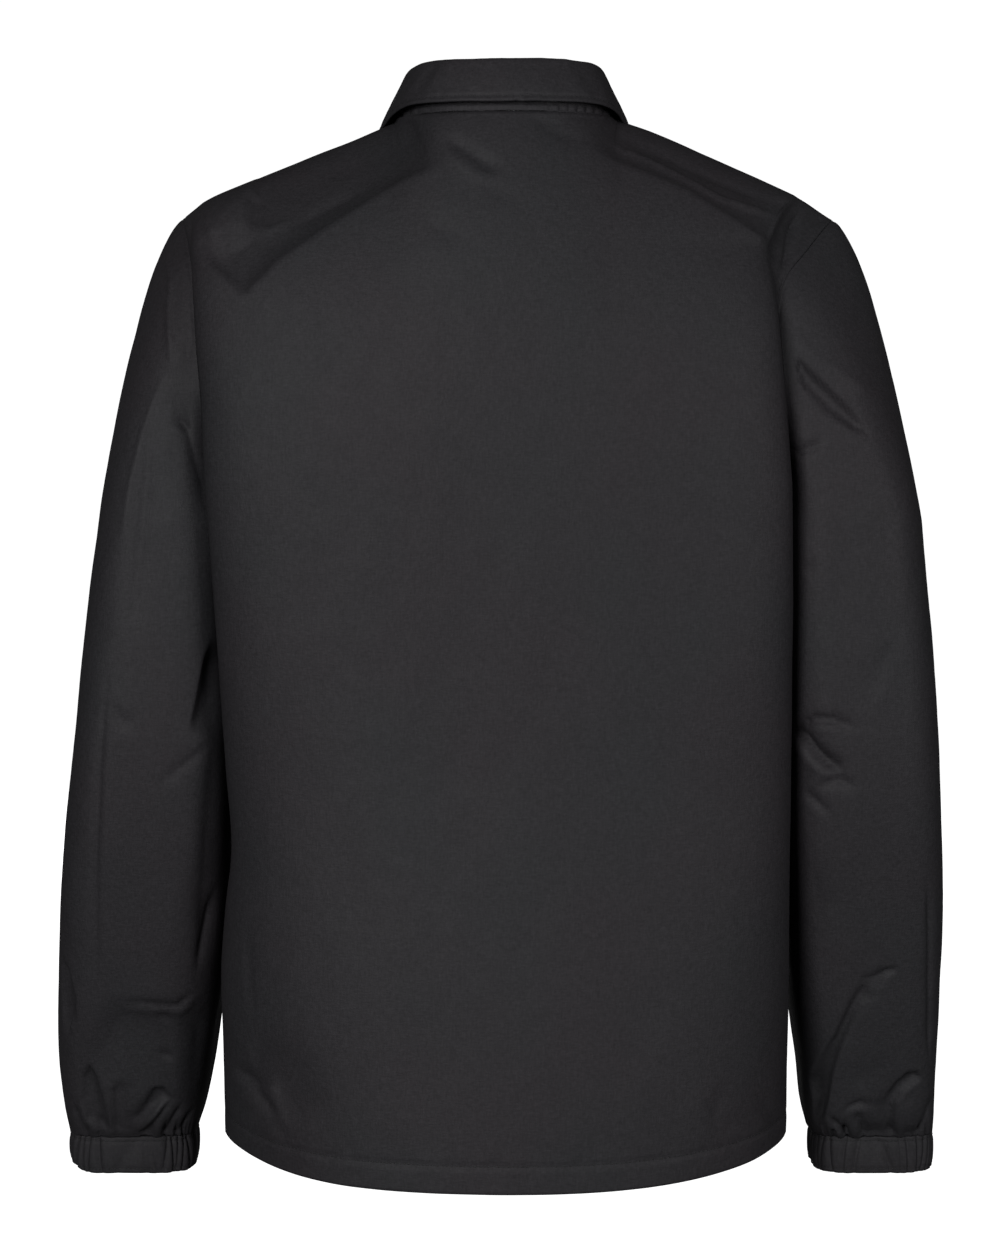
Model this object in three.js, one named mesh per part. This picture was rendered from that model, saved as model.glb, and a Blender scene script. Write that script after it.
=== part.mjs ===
// Coach jacket, filled out as if it were worn: a back, two overlapping fronts closed by
// snaps, set-in sleeves, a turned-down collar on a stand, and elastic cuffs.
// Every cloth piece is a thin wall, and the neck, hem, armholes and cuffs are open.
import * as THREE from 'three';

// Frame in millimetres: X to the wearer's left, Y to the back, Z up. The origin is the middle
// of the neck opening, at the height where the neck meets the shoulders.

// Driving sizes
const CLOTH = 1.4;
const COLLAR_CLOTH = 2.0;
const CUFF_WALL = 2.4;
const SEAM_GAP = 0.3;
const STAND_GAP = 0.9;
const ARMHOLE_GAP = 0.7;
const HEM_Z = -712.5;
const HEM_RISE = 14;
const UNDERARM_Z = -252;
const NECK_HALF_WIDTH = 76;
const BACK_NECK = { y: 78, z: -7.5 };
const FRONT_NECK = { y: -85, z: -75 };
const NECK_ROUNDNESS = 2.3;
const PLACKET_LAP = 15;
const LAP_DEPTH = 2.4;
const LAP_EASE = 26;
const SLEEVE_END_Z = -717;
const CUFF_HEIGHT = 25;
const CUFF_RIBS = 22;
const CUFF_RIB_HEIGHT = 1.3;
const SLEEVE_GATHER = 1.5;
const GATHER_REACH = 34;
const SNAP_RADIUS = 7.5;
const SNAP_HEIGHT = 2.6;
const SNAP_TOP_Z = -100;
const SNAP_PITCH = 108;
const SNAP_COUNT = 6;
const SHOULDER_FORWARD = 4;

// How finely the walls are divided
const NECK_STEPS = 5;
const SHOULDER_STEPS = 6;
const LIP_STEPS = 3;
const SIDE_ROWS = 11;
const ARMHOLE_ROWS = 18;
const CAP_ROWS = 4;
const SLEEVE_ROWS = 14;

// A table is read at any height between its rows, which run upwards in their first column
function table(names, rows) {
  return { names, rows };
}

// Level sections of the body below the underarm. A back section runs from its depth at the
// centre to the fold that stands beside the sleeve, and turns in there to the side seam.
const BODY = {
  left: table(
    ['z', 'fold', 'foldY', 'back', 'roundness', 'seam', 'frontFold', 'frontFoldY', 'front'],
    [
      [-713, 195, 12, 143, 2.1, 193.5, 193, -12, 134],
      [-650, 195, 22, 140, 2.2, 189, 191, -24, 130],
      [-590, 195, 32, 136, 2.3, 184, 190, -36, 126],
      [-545, 191.5, 40, 132, 2.4, 180, 189, -44, 123],
      [-500, 186.5, 46, 128, 2.5, 177, 188, -50, 121],
      [-445, 189.5, 53, 124, 2.5, 175.5, 188, -56, 119],
      [-390, 192.5, 59, 122, 2.6, 175, 188, -61, 118],
      [-320, 196, 68, 121, 2.6, 175, 188, -67, 118],
      [-252, 200, 74, 120, 2.6, 176, 189, -72, 118],
    ],
  ),
  right: table(
    ['z', 'fold', 'foldY', 'back', 'roundness', 'seam', 'frontFold', 'frontFoldY', 'front'],
    [
      [-713, 196, 12, 143, 2.1, 194, 193, -12, 134],
      [-650, 195.5, 22, 140, 2.2, 189, 191, -24, 130],
      [-590, 195, 32, 136, 2.3, 184, 190, -36, 126],
      [-545, 194, 40, 132, 2.4, 180, 189, -44, 123],
      [-500, 193.5, 46, 128, 2.5, 177, 188, -50, 121],
      [-445, 193.5, 53, 124, 2.5, 175, 188, -56, 119],
      [-390, 193, 60, 122, 2.6, 173.5, 188, -61, 118],
      [-320, 192.5, 70, 121, 2.6, 172, 188, -67, 118],
      [-252, 191, 76, 120, 2.6, 172, 189, -72, 118],
    ],
  ),
};

// The same folds above the underarm, up to the shoulder line
const UPPER_FOLD = {
  left: table(
    ['z', 'back', 'front'],
    [
      [-252, 200, 189],
      [-200, 202, 191],
      [-150, 206, 196],
      [-97, 209, 203],
      [-64, 208, 208],
    ],
  ),
  right: table(
    ['z', 'back', 'front'],
    [
      [-252, 191, 189],
      [-200, 187, 190],
      [-150, 183, 193],
      [-124, 180, 195],
      [-97, 177, 197],
      [-86, 184, 198],
      [-58, 200, 200],
    ],
  ),
};

// The shoulder line, from the neck to the tip of the shoulder
const SHOULDER = table(
  ['x', 'left', 'right'],
  [
    [76, -6, -5],
    [100, -16.5, -13.7],
    [126, -26.9, -24.1],
    [152, -38, -35],
    [180, -49.5, -47.3],
    [205, -60.6, -59.8],
    [226, -74, -72.5],
  ],
);

// Armhole seams from the underarm over the back to the shoulder tip, then down the front
const ARMHOLE = {
  left: [
    [176, 0, -252],
    [186, 42, -235],
    [196, 64, -195],
    [203, 62, -155],
    [208.5, 52, -122],
    [214, 34, -94],
    [221.5, -4, -70.8],
    [214, -30, -92],
    [204, -50, -125],
    [193, -58, -175],
    [184, -44, -228],
  ],
  right: [
    [172, 0, -252],
    [180, 40, -237],
    [179, 63, -200],
    [180, 65, -155],
    [186, 58, -119],
    [204.5, 35, -95],
    [225.6, -3, -72],
    [216, -30, -93],
    [205, -50, -125],
    [191, -58, -175],
    [181, -44, -228],
  ],
};
const BACK_ARMHOLE_POINTS = 7;
const ARMHOLE_SAMPLES = 60;

// Level sections of each sleeve below the underarm: its outer and inner edge from behind,
// and its middle and half depth from the side
const SLEEVE = {
  left: table(
    ['z', 'outer', 'inner', 'middleY', 'halfDepth'],
    [
      [-717, 313.5, 221.5, -45, 33],
      [-712, 314, 220, -45, 38],
      [-697, 316, 216, -44, 45],
      [-667, 318, 210, -40, 52],
      [-637, 318, 205, -34, 56],
      [-607, 317, 200, -27, 58],
      [-548, 313, 194, -14, 60],
      [-490, 308, 191, -3, 62],
      [-433, 301, 189, 3, 64],
      [-376, 294, 188, 4, 66],
      [-320, 287, 187, 2, 69],
      [-278, 281, 186, 0, 71],
    ],
  ),
  right: table(
    ['z', 'outer', 'inner', 'middleY', 'halfDepth'],
    [
      [-717, 307.5, 219.5, -45, 33],
      [-712, 308, 217, -45, 38],
      [-697, 308, 214, -44, 45],
      [-667, 308, 211, -40, 52],
      [-637, 308, 206, -34, 56],
      [-607, 307.5, 201, -27, 58],
      [-548, 306.5, 196, -14, 60],
      [-490, 302.3, 192, -3, 62],
      [-433, 298, 190, 3, 64],
      [-376, 293.2, 188, 4, 66],
      [-320, 288, 186, 2, 69],
      [-278, 284.5, 184, 0, 71],
    ],
  ),
};
const BICEP_Z = -278;
const SLEEVE_ROUNDNESS = 2.2;
const CAP_OUT = { tip: 80, underarm: 26 };
const CAP_DOWN = { tip: 0.25, underarm: 0.3 };
const CAP_FLARE = 0.45;

// The collar, read along the neck seam: 0 at the centre back, 1 at the shoulder, 2 at the
// centre front. rise and lean carry the stand from the seam to the fold.
const STAND = table(
  ['along', 'rise', 'lean'],
  [
    [0, 31.5, -9],
    [0.5, 31, -9.5],
    [0.75, 29.5, -10],
    [1, 24.5, -10.5],
    [1.5, 20.5, -6.5],
    [2, 19.5, -3],
  ],
);
// The free edge of the leaf: outwards and upwards from the neck seam as far as the shoulder,
// and in X and Z on the front, where the leaf lies on the panel
const LEAF_BACK = table(
  ['along', 'out', 'up'],
  [
    [0, 5, 6],
    [0.5, 6, 6],
    [0.75, 7, 3.6],
    [0.88, 8.5, 0.9],
    [1, 10.5, -1.2],
  ],
);
const LEAF_FRONT = table(
  ['along', 'x', 'z'],
  [
    [1, 86.5, -7],
    [1.2, 91, -18],
    [1.5, 88, -52],
    [1.75, 72, -84],
    [2, 50, -112],
  ],
);
const LEAF_ROLL = [
  [-2.2, 1.4],
  [-1.4, 3],
  [0.7, 3.8],
  [3.6, 2.2],
];
const LEAF_STEPS = [0.3, 0.65, 1];
const LEAF_BULGE = 0.8;
const LEAF_CLEAR = { shoulder: 8, centre: 4.2 };

// Large soft folds: a trough along a line in X and Z, seen from the back (side 1) or from the
// front (side -1), with its half width and depth. A minus depth is a ridge.
const FOLD_NAMES = ['x0', 'z0', 'x1', 'z1', 'width', 'depth', 'side'];
const BODY_FOLDS = table(FOLD_NAMES, [
  [52, -30, 168, -128, 26, 7, 1],
  [96, -98, 176, -176, 26, -3, 1],
  [-60, -28, -168, -74, 20, 6, 1],
  [-98, -18, -206, -58, 12, -3, 1],
  [34, -22, 2, -50, 10, 4, 1],
  [48, -150, 22, -430, 30, 3.5, 1],
  [-62, -260, -100, -560, 34, 3, 1],
  [118, -300, 96, -600, 32, 3, 1],
  [176, -650, 138, -700, 16, 4, 1],
  [-176, -640, -150, -694, 14, 3.5, 1],
  [96, -110, 128, -300, 30, 4, -1],
  [-96, -110, -128, -290, 30, 4, -1],
  [60, -330, 78, -600, 34, 3.5, -1],
  [-66, -320, -84, -610, 34, 3.5, -1],
  [150, -560, 120, -690, 20, 4, -1],
  [-150, -560, -122, -690, 20, 4, -1],
]);
const SLEEVE_FOLDS = {
  left: table(FOLD_NAMES, [
    [226, -104, 228, -170, 12, -3, 1],
    [216, -200, 252, -330, 18, 4, 1],
    [196, -460, 262, -500, 15, 6, 1],
    [198, -545, 250, -600, 15, 5, 1],
    [212, -640, 286, -628, 14, 5, 1],
    [300, -690, 282, -640, 12, 4, 1],
    [262, -700, 250, -650, 12, 4, 1],
    [206, -440, 270, -470, 16, 6, -1],
    [206, -500, 262, -560, 16, 6, -1],
    [220, -610, 280, -590, 16, 5, -1],
    [214, -290, 262, -350, 18, 5, -1],
  ]),
  right: table(FOLD_NAMES, [
    [-206, -150, -258, -218, 14, 5, 1],
    [-204, -430, -246, -424, 12, 6, 1],
    [-206, -436, -236, -462, 12, 6, 1],
    [-204, -468, -230, -492, 12, 5, 1],
    [-280, -600, -232, -690, 14, 8, 1],
    [-290, -640, -262, -700, 12, 5, 1],
    [-240, -560, -226, -640, 14, 3, 1],
    [-206, -440, -266, -470, 16, 6, -1],
    [-206, -500, -258, -560, 16, 6, -1],
    [-220, -610, -276, -590, 16, 5, -1],
    [-214, -290, -262, -350, 18, 5, -1],
  ]),
};

// Numbers

const clamp = (value, low, high) => Math.min(Math.max(value, low), high);
const mix = (a, b, t) => a + (b - a) * t;
const smooth = (t) => clamp(t, 0, 1) ** 2 * (3 - 2 * clamp(t, 0, 1));

function hermite(a, slopeA, b, slopeB, t) {
  const s = 1 - t;
  return a * s * s * (1 + 2 * t) + slopeA * t * s * s + b * t * t * (3 - 2 * t) - slopeB * t * t * s;
}

function read(sheet, name, at) {
  const { rows } = sheet;
  const column = sheet.names.indexOf(name);
  const last = rows.length - 1;
  const key = clamp(at, rows[0][0], rows[last][0]);
  let i = 0;
  while (i < last - 1 && rows[i + 1][0] < key) i += 1;
  const slope = (j) => {
    const before = rows[Math.max(j - 1, 0)];
    const after = rows[Math.min(j + 1, last)];
    return (after[column] - before[column]) / (after[0] - before[0]);
  };
  const span = rows[i + 1][0] - rows[i][0];
  const t = (key - rows[i][0]) / span;
  return hermite(rows[i][column], slope(i) * span, rows[i + 1][column], slope(i + 1) * span, t);
}

// Nets: rows of points on the outside of a piece

const mirrored = (net) => net.map((row) => row.map((p) => new THREE.Vector3(-p.x, p.y, p.z)).reverse());

function netNormals(net, ring) {
  const last = net.length - 1;
  return net.map((row, r) => row.map((_, c) => {
    const across = row.length;
    const next = ring ? (c + 1) % across : Math.min(c + 1, across - 1);
    const before = ring ? (c + across - 1) % across : Math.max(c - 1, 0);
    const along = row[next].clone().sub(row[before]);
    const down = net[Math.min(r + 1, last)][c].clone().sub(net[Math.max(r - 1, 0)][c]);
    return along.cross(down).normalize();
  }));
}

// Pushes a net in along its large folds, fading out towards the seams round its edge
function creased(net, ring, sheet) {
  const normals = netNormals(net, ring);
  const edge = 2;
  return net.map((row, r) => row.map((p, c) => {
    const fromSide = ring ? edge : Math.min(c, row.length - 1 - c);
    const held = Math.min(r, net.length - 1 - r, fromSide, edge) / edge;
    const normal = normals[r][c];
    let push = 0;
    for (const [x0, z0, x1, z1, width, depth, side] of sheet.rows) {
      const dx = x1 - x0;
      const dz = z1 - z0;
      const t = clamp(((p.x - x0) * dx + (p.z - z0) * dz) / (dx * dx + dz * dz), 0, 1);
      const away = Math.hypot(p.x - x0 - dx * t, p.z - z0 - dz * t);
      push += depth * Math.exp(-((away / width) ** 2)) * smooth(normal.y * side * 1.6);
    }
    return p.clone().addScaledVector(normal, -push * held);
  }));
}

// Body sections

function sectionY(side, face, z, x) {
  const body = BODY[side];
  const back = face === 'back';
  const edgeX = read(body, back ? 'fold' : 'frontFold', z);
  const edgeY = read(body, back ? 'foldY' : 'frontFoldY', z);
  const depth = back ? read(body, 'back', z) : -read(body, 'front', z);
  const n = read(body, 'roundness', z);
  const share = clamp(x / edgeX, 0, 1);
  return edgeY + (depth - edgeY) * (1 - share ** n) ** (1 / n);
}

function foldWidth(side, face, z) {
  if (z > UNDERARM_Z) return read(UPPER_FOLD[side], face, z);
  return read(BODY[side], face === 'back' ? 'fold' : 'frontFold', z);
}

const foldTop = (side) => UPPER_FOLD[side].rows.at(-1)[1];

// Where a column ends at the top: on the neck seam, or on the shoulder line
function columnTop(side, face, x) {
  if (x > NECK_HALF_WIDTH) {
    const y = (-SHOULDER_FORWARD * (x - NECK_HALF_WIDTH)) / (foldTop(side) - NECK_HALF_WIDTH);
    return { y, z: read(SHOULDER, side, x), centre: y };
  }
  const neck = face === 'back' ? BACK_NECK : FRONT_NECK;
  const share = (1 - (x / NECK_HALF_WIDTH) ** NECK_ROUNDNESS) ** (1 / NECK_ROUNDNESS);
  return { y: neck.y * share, z: mix(read(SHOULDER, side, NECK_HALF_WIDTH), neck.z, share ** 1.3), centre: 0 };
}

// The outside of the body at width topX * spread, where spread follows the fold, at height z
function upperY(side, face, topX, z) {
  const top = columnTop(side, face, topX);
  const baseX = topX * (foldWidth(side, face, UNDERARM_Z) / foldTop(side));
  const baseY = sectionY(side, face, UNDERARM_Z, baseX) - top.centre;
  const n = mix(2.2, 2.8, (topX / foldTop(side)) ** 2);
  const cut = (top.y - top.centre) / baseY;
  const height = (top.z - UNDERARM_Z) / (1 - cut ** n) ** (1 / n);
  const share = clamp((z - UNDERARM_Z) / height, 0, 1);
  return top.centre + baseY * (1 - share ** n) ** (1 / n);
}

const spread = (side, face, z) => foldWidth(side, face, z) / foldTop(side);

function armhole(side) {
  const points = ARMHOLE[side].map(([x, y, z]) => new THREE.Vector3(x, y, z));
  const whole = new THREE.CatmullRomCurve3(points, true, 'centripetal');
  const half = (from, to) => {
    const path = Array.from({ length: ARMHOLE_SAMPLES + 1 }, (_, i) => (
      whole.getPoint(mix(from, to, i / ARMHOLE_SAMPLES) % 1)
    ));
    return new THREE.CatmullRomCurve3(path).getSpacedPoints(ARMHOLE_ROWS);
  };
  const tip = (BACK_ARMHOLE_POINTS - 1) / points.length;
  return { back: half(0, tip), front: half(1, tip) };
}

const ARMHOLES = { left: armhole('left'), right: armhole('right') };

function lip(fold, seam, rowShare) {
  const depth = Math.abs(fold.y - seam.y);
  const towards = Math.sign(fold.y);
  const curled = [
    fold.clone().add(new THREE.Vector3(0.03 * depth, -0.22 * depth * towards, 0)),
    seam.clone().add(new THREE.Vector3(0.03 * depth, 0.42 * depth * towards, 0)),
  ];
  const plain = [fold.clone().lerp(seam, 1 / 3), fold.clone().lerp(seam, 2 / 3)];
  const flat = smooth(rowShare / 0.3);
  const [a, b] = curled.map((p, i) => p.lerp(plain[i], flat));
  const curve = new THREE.CubicBezierCurve3(fold, a, b, seam);
  return Array.from({ length: LIP_STEPS }, (_, i) => curve.getPoint((i + 1) / LIP_STEPS));
}

// One half of the back or of a front, from the centre to the side seam, with x counted outwards
function halfBody(side, face) {
  const tops = [];
  for (let i = 0; i <= NECK_STEPS; i += 1) {
    tops.push(NECK_HALF_WIDTH * Math.sin((i / NECK_STEPS) * (Math.PI / 2)) ** 0.9);
  }
  for (let i = 1; i <= SHOULDER_STEPS; i += 1) {
    tops.push(mix(NECK_HALF_WIDTH, foldTop(side), i / SHOULDER_STEPS));
  }
  const rows = [];
  for (let r = 0; r < SIDE_ROWS; r += 1) {
    const level = mix(HEM_Z, UNDERARM_Z, r / SIDE_ROWS);
    const rise = HEM_RISE * Math.max(1 - r / 3, 0);
    const row = tops.map((topX) => {
      const x = topX * spread(side, face, level);
      const z = level + rise * (topX / foldTop(side)) ** 4;
      return new THREE.Vector3(x, sectionY(side, face, level, x), z);
    });
    const seam = new THREE.Vector3(read(BODY[side], 'seam', level), 0, level + rise);
    rows.push([...row, ...lip(row.at(-1), seam, 0)]);
  }
  const other = side === 'left' ? 'right' : 'left';
  const seams = ARMHOLES[side][face];
  const across = ARMHOLES[other][face];
  const climb = (list, r) => (list[r].z - UNDERARM_Z) / (list.at(-1).z - UNDERARM_Z);
  for (let r = 0; r <= ARMHOLE_ROWS; r += 1) {
    const shared = (climb(seams, r) + climb(across, r)) / 2;
    const row = tops.map((topX) => {
      const top = columnTop(side, face, topX);
      const share = mix(shared, climb(seams, r), smooth(topX / foldTop(side)));
      const z = mix(UNDERARM_Z, top.z, share);
      const y = r === ARMHOLE_ROWS ? top.y : upperY(side, face, topX, z);
      return new THREE.Vector3(topX * spread(side, face, z), y, z);
    });
    rows.push([...row, ...lip(row.at(-1), seams[r], climb(seams, r))]);
  }
  return rows;
}

function backNet() {
  const left = halfBody('left', 'back');
  const right = halfBody('right', 'back');
  return left.map((row, r) => [
    ...row.slice(1).reverse(),
    ...right[r].map((p) => new THREE.Vector3(-p.x, p.y, p.z)),
  ]);
}

// A front runs past the centre by the lap of the placket. Its centre point there is a point
// of its own net, moved sideways.
function frontNet(side) {
  const half = halfBody(side, 'front');
  const net = half.map((row) => [row[0].clone().setX(-PLACKET_LAP), ...row]);
  return side === 'left' ? net : mirrored(net);
}

// The right front lies under the left one
function underLap(net) {
  const normals = netNormals(net, false);
  return net.map((row, r) => row.map((p, c) => {
    const share = smooth((p.x + PLACKET_LAP + LAP_EASE) / LAP_EASE);
    return p.clone().addScaledVector(normals[r][c], -LAP_DEPTH * share);
  }));
}

// Sleeves

function sleeveRing(side, z, count) {
  const sheet = SLEEVE[side];
  const outer = read(sheet, 'outer', z);
  const inner = read(sheet, 'inner', z);
  const middleX = (outer + inner) / 2;
  const halfWidth = (outer - inner) / 2;
  const middleY = read(sheet, 'middleY', z);
  const halfDepth = read(sheet, 'halfDepth', z);
  const round = (value) => Math.sign(value) * Math.abs(value) ** (2 / SLEEVE_ROUNDNESS);
  return Array.from({ length: count }, (_, i) => {
    const angle = (i / count) * 2 * Math.PI;
    const x = middleX - halfWidth * round(Math.cos(angle));
    return new THREE.Vector3(x, middleY + halfDepth * round(Math.sin(angle)), z);
  });
}

// From the armhole seam out over the shoulder tip, and down to the level bicep ring
function capPoint(from, to, height, t) {
  const reach = from.distanceTo(to);
  const out = mix(CAP_OUT.underarm, CAP_OUT.tip, height);
  const startZ = -reach * mix(CAP_DOWN.underarm, CAP_DOWN.tip, height);
  const endX = (to.x - from.x) * CAP_FLARE * height;
  return new THREE.Vector3(
    hermite(from.x, out, to.x, endX, t),
    hermite(from.y, 0, to.y, to.y - from.y, t),
    hermite(from.z, startZ, to.z, -reach, t),
  );
}

function sleeveNet(side) {
  const { back, front } = ARMHOLES[side];
  const loop = [...back, ...front.slice(1, -1).reverse()];
  const bicep = sleeveRing(side, BICEP_Z, loop.length);
  const net = [];
  for (let r = 0; r < CAP_ROWS; r += 1) {
    const t = (r / CAP_ROWS) ** 1.2;
    net.push(loop.map((p, i) => {
      const height = (p.z - UNDERARM_Z) / (back.at(-1).z - UNDERARM_Z);
      return capPoint(p, bicep[i], height, t);
    }));
  }
  for (let r = 0; r <= SLEEVE_ROWS; r += 1) {
    const t = r / SLEEVE_ROWS;
    const z = mix(BICEP_Z, SLEEVE_END_Z, 1 - (1 - t) ** 1.25);
    net.push(sleeveRing(side, z, loop.length));
  }
  return side === 'left' ? net : mirrored(net);
}

// Gathers where the sleeve is sewn to the cuff: every second point of the last rows stands out
function gatherSleeve(net) {
  const normals = netNormals(net, true);
  return net.map((row, r) => row.map((p, c) => {
    const near = smooth(1 - (p.z - SLEEVE_END_Z) / GATHER_REACH);
    const wave = (c % 2 ? -1 : 1) * SLEEVE_GATHER * near;
    return p.clone().addScaledVector(normals[r][c], r === 0 ? 0 : wave).setZ(p.z);
  }));
}

const CUFF_PROFILE = [
  [0, -1.4, 0.5],
  [0.16, 0, 1],
  [0.5, 0.6, 1],
  [0.84, 0, 1],
  [1, -1.2, 0.6],
];

function cuffNets(side) {
  const count = CUFF_RIBS * 3;
  const ribs = [1, -0.2, -0.7];
  const outer = [];
  const inner = [];
  const middle = new THREE.Vector3();
  for (const [down, bulge, share] of CUFF_PROFILE) {
    const z = SLEEVE_END_Z - SEAM_GAP * 2 - CUFF_HEIGHT * down;
    const ring = sleeveRing(side, SLEEVE_END_Z, count);
    middle.set((ring[0].x + ring[count / 2].x) / 2, ring[0].y, z);
    const row = ring.map((p) => p.setZ(z));
    const grow = (p, by) => p.clone().add(p.clone().sub(middle).setLength(by));
    outer.push(row.map((p, i) => grow(p, bulge + ribs[i % 3] * CUFF_RIB_HEIGHT * share)));
    inner.push(row.map((p) => grow(p, bulge - CUFF_WALL)));
  }
  return side === 'left' ? { outer, inner } : { outer: mirrored(outer), inner: mirrored(inner) };
}

// Collar

// The neck seam as one line of points, from the left centre front round the back
function neckLine(back, leftFront, rightFront) {
  const top = (net) => net.at(-1);
  const middle = (top(back).length - 1) / 2;
  const left = top(leftFront).slice(1, NECK_STEPS + 2);
  const behind = top(back).slice(middle - NECK_STEPS + 1, middle + NECK_STEPS);
  const right = top(rightFront).slice(-NECK_STEPS - 2, -1);
  return [...left, ...behind, ...right];
}

function collarFrame(line) {
  const count = line.length - 1;
  return line.map((p, i) => {
    const share = i / count;
    const along = share * 4;
    const ahead = line[Math.min(i + 1, count)];
    const behind = line[Math.max(i - 1, 0)];
    const out = ahead.clone().sub(behind).setZ(0).normalize();
    out.set(-out.y, out.x, 0).negate();
    if (i === 0 || i === count) out.set(0, -1, 0);
    return { seam: p, out, along: Math.abs(along - 2), sign: share < 0.5 ? 1 : -1 };
  });
}

function standNet(frames) {
  const rows = [0, 0.5, 1];
  return rows.map((share) => frames.map(({ seam, out, along }) => {
    const rise = read(STAND, 'rise', along) * share;
    const lean = read(STAND, 'lean', along) * share;
    return seam.clone().addScaledVector(out, lean).setZ(seam.z + rise);
  }));
}

function leafEdge({ seam, out, along, sign }) {
  if (along <= 1) {
    const edge = seam.clone().addScaledVector(out, read(LEAF_BACK, 'out', along));
    return edge.setZ(seam.z + read(LEAF_BACK, 'up', along));
  }
  const x = read(LEAF_FRONT, 'x', along);
  const z = read(LEAF_FRONT, 'z', along);
  const rest = restY(sign, along, x, z);
  const beyond = mix(seam.y - 14, rest, smooth((along - 1) / 0.25));
  return new THREE.Vector3(x * sign, Math.min(beyond, rest), z);
}

// How far out the leaf lies on the front at a place counted outwards from the centre
function restY(sign, along, x, z) {
  const side = sign > 0 ? 'left' : 'right';
  const topX = x / spread(side, 'front', z);
  const clear = mix(LEAF_CLEAR.shoulder, LEAF_CLEAR.centre, smooth(along - 1));
  return upperY(side, 'front', topX, z) - clear;
}

function leafNet(frames, stand) {
  const folds = stand.at(-1);
  const rows = LEAF_ROLL.map(([out, up]) => frames.map((frame, i) => {
    const p = folds[i].clone().addScaledVector(frame.out, out);
    return p.setZ(p.z + up);
  }));
  const start = rows.at(-1);
  for (const share of LEAF_STEPS) {
    rows.push(frames.map((frame, i) => {
      const p = start[i].clone().lerp(leafEdge(frame), share);
      p.addScaledVector(frame.out, LEAF_BULGE * Math.sin(share * Math.PI));
      const side = frame.sign > 0 ? 'left' : 'right';
      const width = Math.abs(p.x);
      if (frame.along > 1.1 && p.z < columnTop(side, 'front', width).z) {
        p.y = Math.min(p.y, restY(frame.sign, frame.along, width, p.z));
      }
      return p;
    }));
  }
  return rows.map((row) => row.reverse());
}

// Walls

const keyOf = (p) => [p.x, p.y, p.z].map((value) => Math.round(value * 100)).join(' ');

// Pieces that meet at a seam turn their edges the same way there
function shareNormals(pieces) {
  const sums = new Map();
  for (const piece of pieces) {
    piece.normals = netNormals(piece.net, piece.ring);
    piece.net.forEach((row, r) => row.forEach((p, c) => {
      const key = keyOf(p);
      const sum = sums.get(key) ?? new THREE.Vector3();
      sums.set(key, sum.add(piece.normals[r][c]));
    }));
  }
  for (const piece of pieces) {
    piece.normals = piece.net.map((row) => row.map((p) => sums.get(keyOf(p)).clone().normalize()));
  }
}

// Draws the edge of a net back from its seams by half of the gap between pieces. A corner is
// the row at the underarm, where a body panel also stops short of the sleeve below it.
function drawBack({ net, normals, ring, corner, gap = SEAM_GAP }, seams) {
  const out = net.map((row) => row.map((p) => p.clone()));
  const pull = (r, c, r2, c2) => {
    const way = net[r2][c2].clone().sub(net[r][c]).normalize();
    const lean = clamp(Math.abs(way.dot(normals[r][c])), 0, 0.92);
    out[r][c].addScaledVector(way, gap / 2 / Math.sqrt(1 - lean * lean));
  };
  const last = net.length - 1;
  const end = net[0].length - 1;
  for (let c = 0; c <= end; c += 1) {
    if (seams.includes('first')) pull(0, c, 1, c);
    if (seams.includes('last')) pull(last, c, last - 1, c);
  }
  if (!ring) {
    for (let r = 0; r <= last; r += 1) {
      if (seams.includes('start')) pull(r, 0, r, 1);
      if (seams.includes('end')) pull(r, end, r, end - 1);
    }
    for (const c of [0, end]) {
      if (corner) pull(corner, c, corner - 1, c);
    }
  }
  return out;
}

const thicken = (net, normals, wall) => net.map((row, r) => row.map(
  (p, c) => p.clone().addScaledVector(normals[r][c], -wall),
));

// Closes an outer and an inner net into one wall
function wallGeometry(outer, inner, ring) {
  const rows = outer.length;
  const columns = outer[0].length;
  const points = [...outer.flat(), ...inner.flat()];
  const index = (layer, r, c) => layer * rows * columns + r * columns + (c % columns);
  const faces = [];
  const quad = (a, b, c, d) => {
    if (points[a].distanceTo(points[c]) <= points[b].distanceTo(points[d])) {
      faces.push(a, b, c, a, c, d);
    } else {
      faces.push(a, b, d, b, c, d);
    }
  };
  const steps = ring ? columns : columns - 1;
  for (let r = 0; r < rows - 1; r += 1) {
    for (let c = 0; c < steps; c += 1) {
      quad(index(0, r, c), index(0, r, c + 1), index(0, r + 1, c + 1), index(0, r + 1, c));
      quad(index(1, r, c), index(1, r + 1, c), index(1, r + 1, c + 1), index(1, r, c + 1));
    }
    if (!ring) {
      const end = columns - 1;
      quad(index(0, r, 0), index(0, r + 1, 0), index(1, r + 1, 0), index(1, r, 0));
      quad(index(0, r, end), index(1, r, end), index(1, r + 1, end), index(0, r + 1, end));
    }
  }
  const top = rows - 1;
  for (let c = 0; c < steps; c += 1) {
    quad(index(0, 0, c), index(1, 0, c), index(1, 0, c + 1), index(0, 0, c + 1));
    quad(index(0, top, c), index(0, top, c + 1), index(1, top, c + 1), index(1, top, c));
  }
  const geometry = new THREE.BufferGeometry();
  geometry.setAttribute('position', new THREE.Float32BufferAttribute(points.flatMap((p) => [p.x, p.y, p.z]), 3));
  geometry.setIndex(faces);
  geometry.computeVertexNormals();
  return geometry;
}

// Materials

const nylon = new THREE.MeshStandardMaterial({ color: 0x2a2a2c, roughness: 0.55, metalness: 0 });
const nylonCuff = new THREE.MeshStandardMaterial({ color: 0x262628, roughness: 0.6, metalness: 0 });
const enamel = new THREE.MeshStandardMaterial({ color: 0x1c1c1e, roughness: 0.35, metalness: 0.1 });

// Assembly

const group = new THREE.Group();

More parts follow.
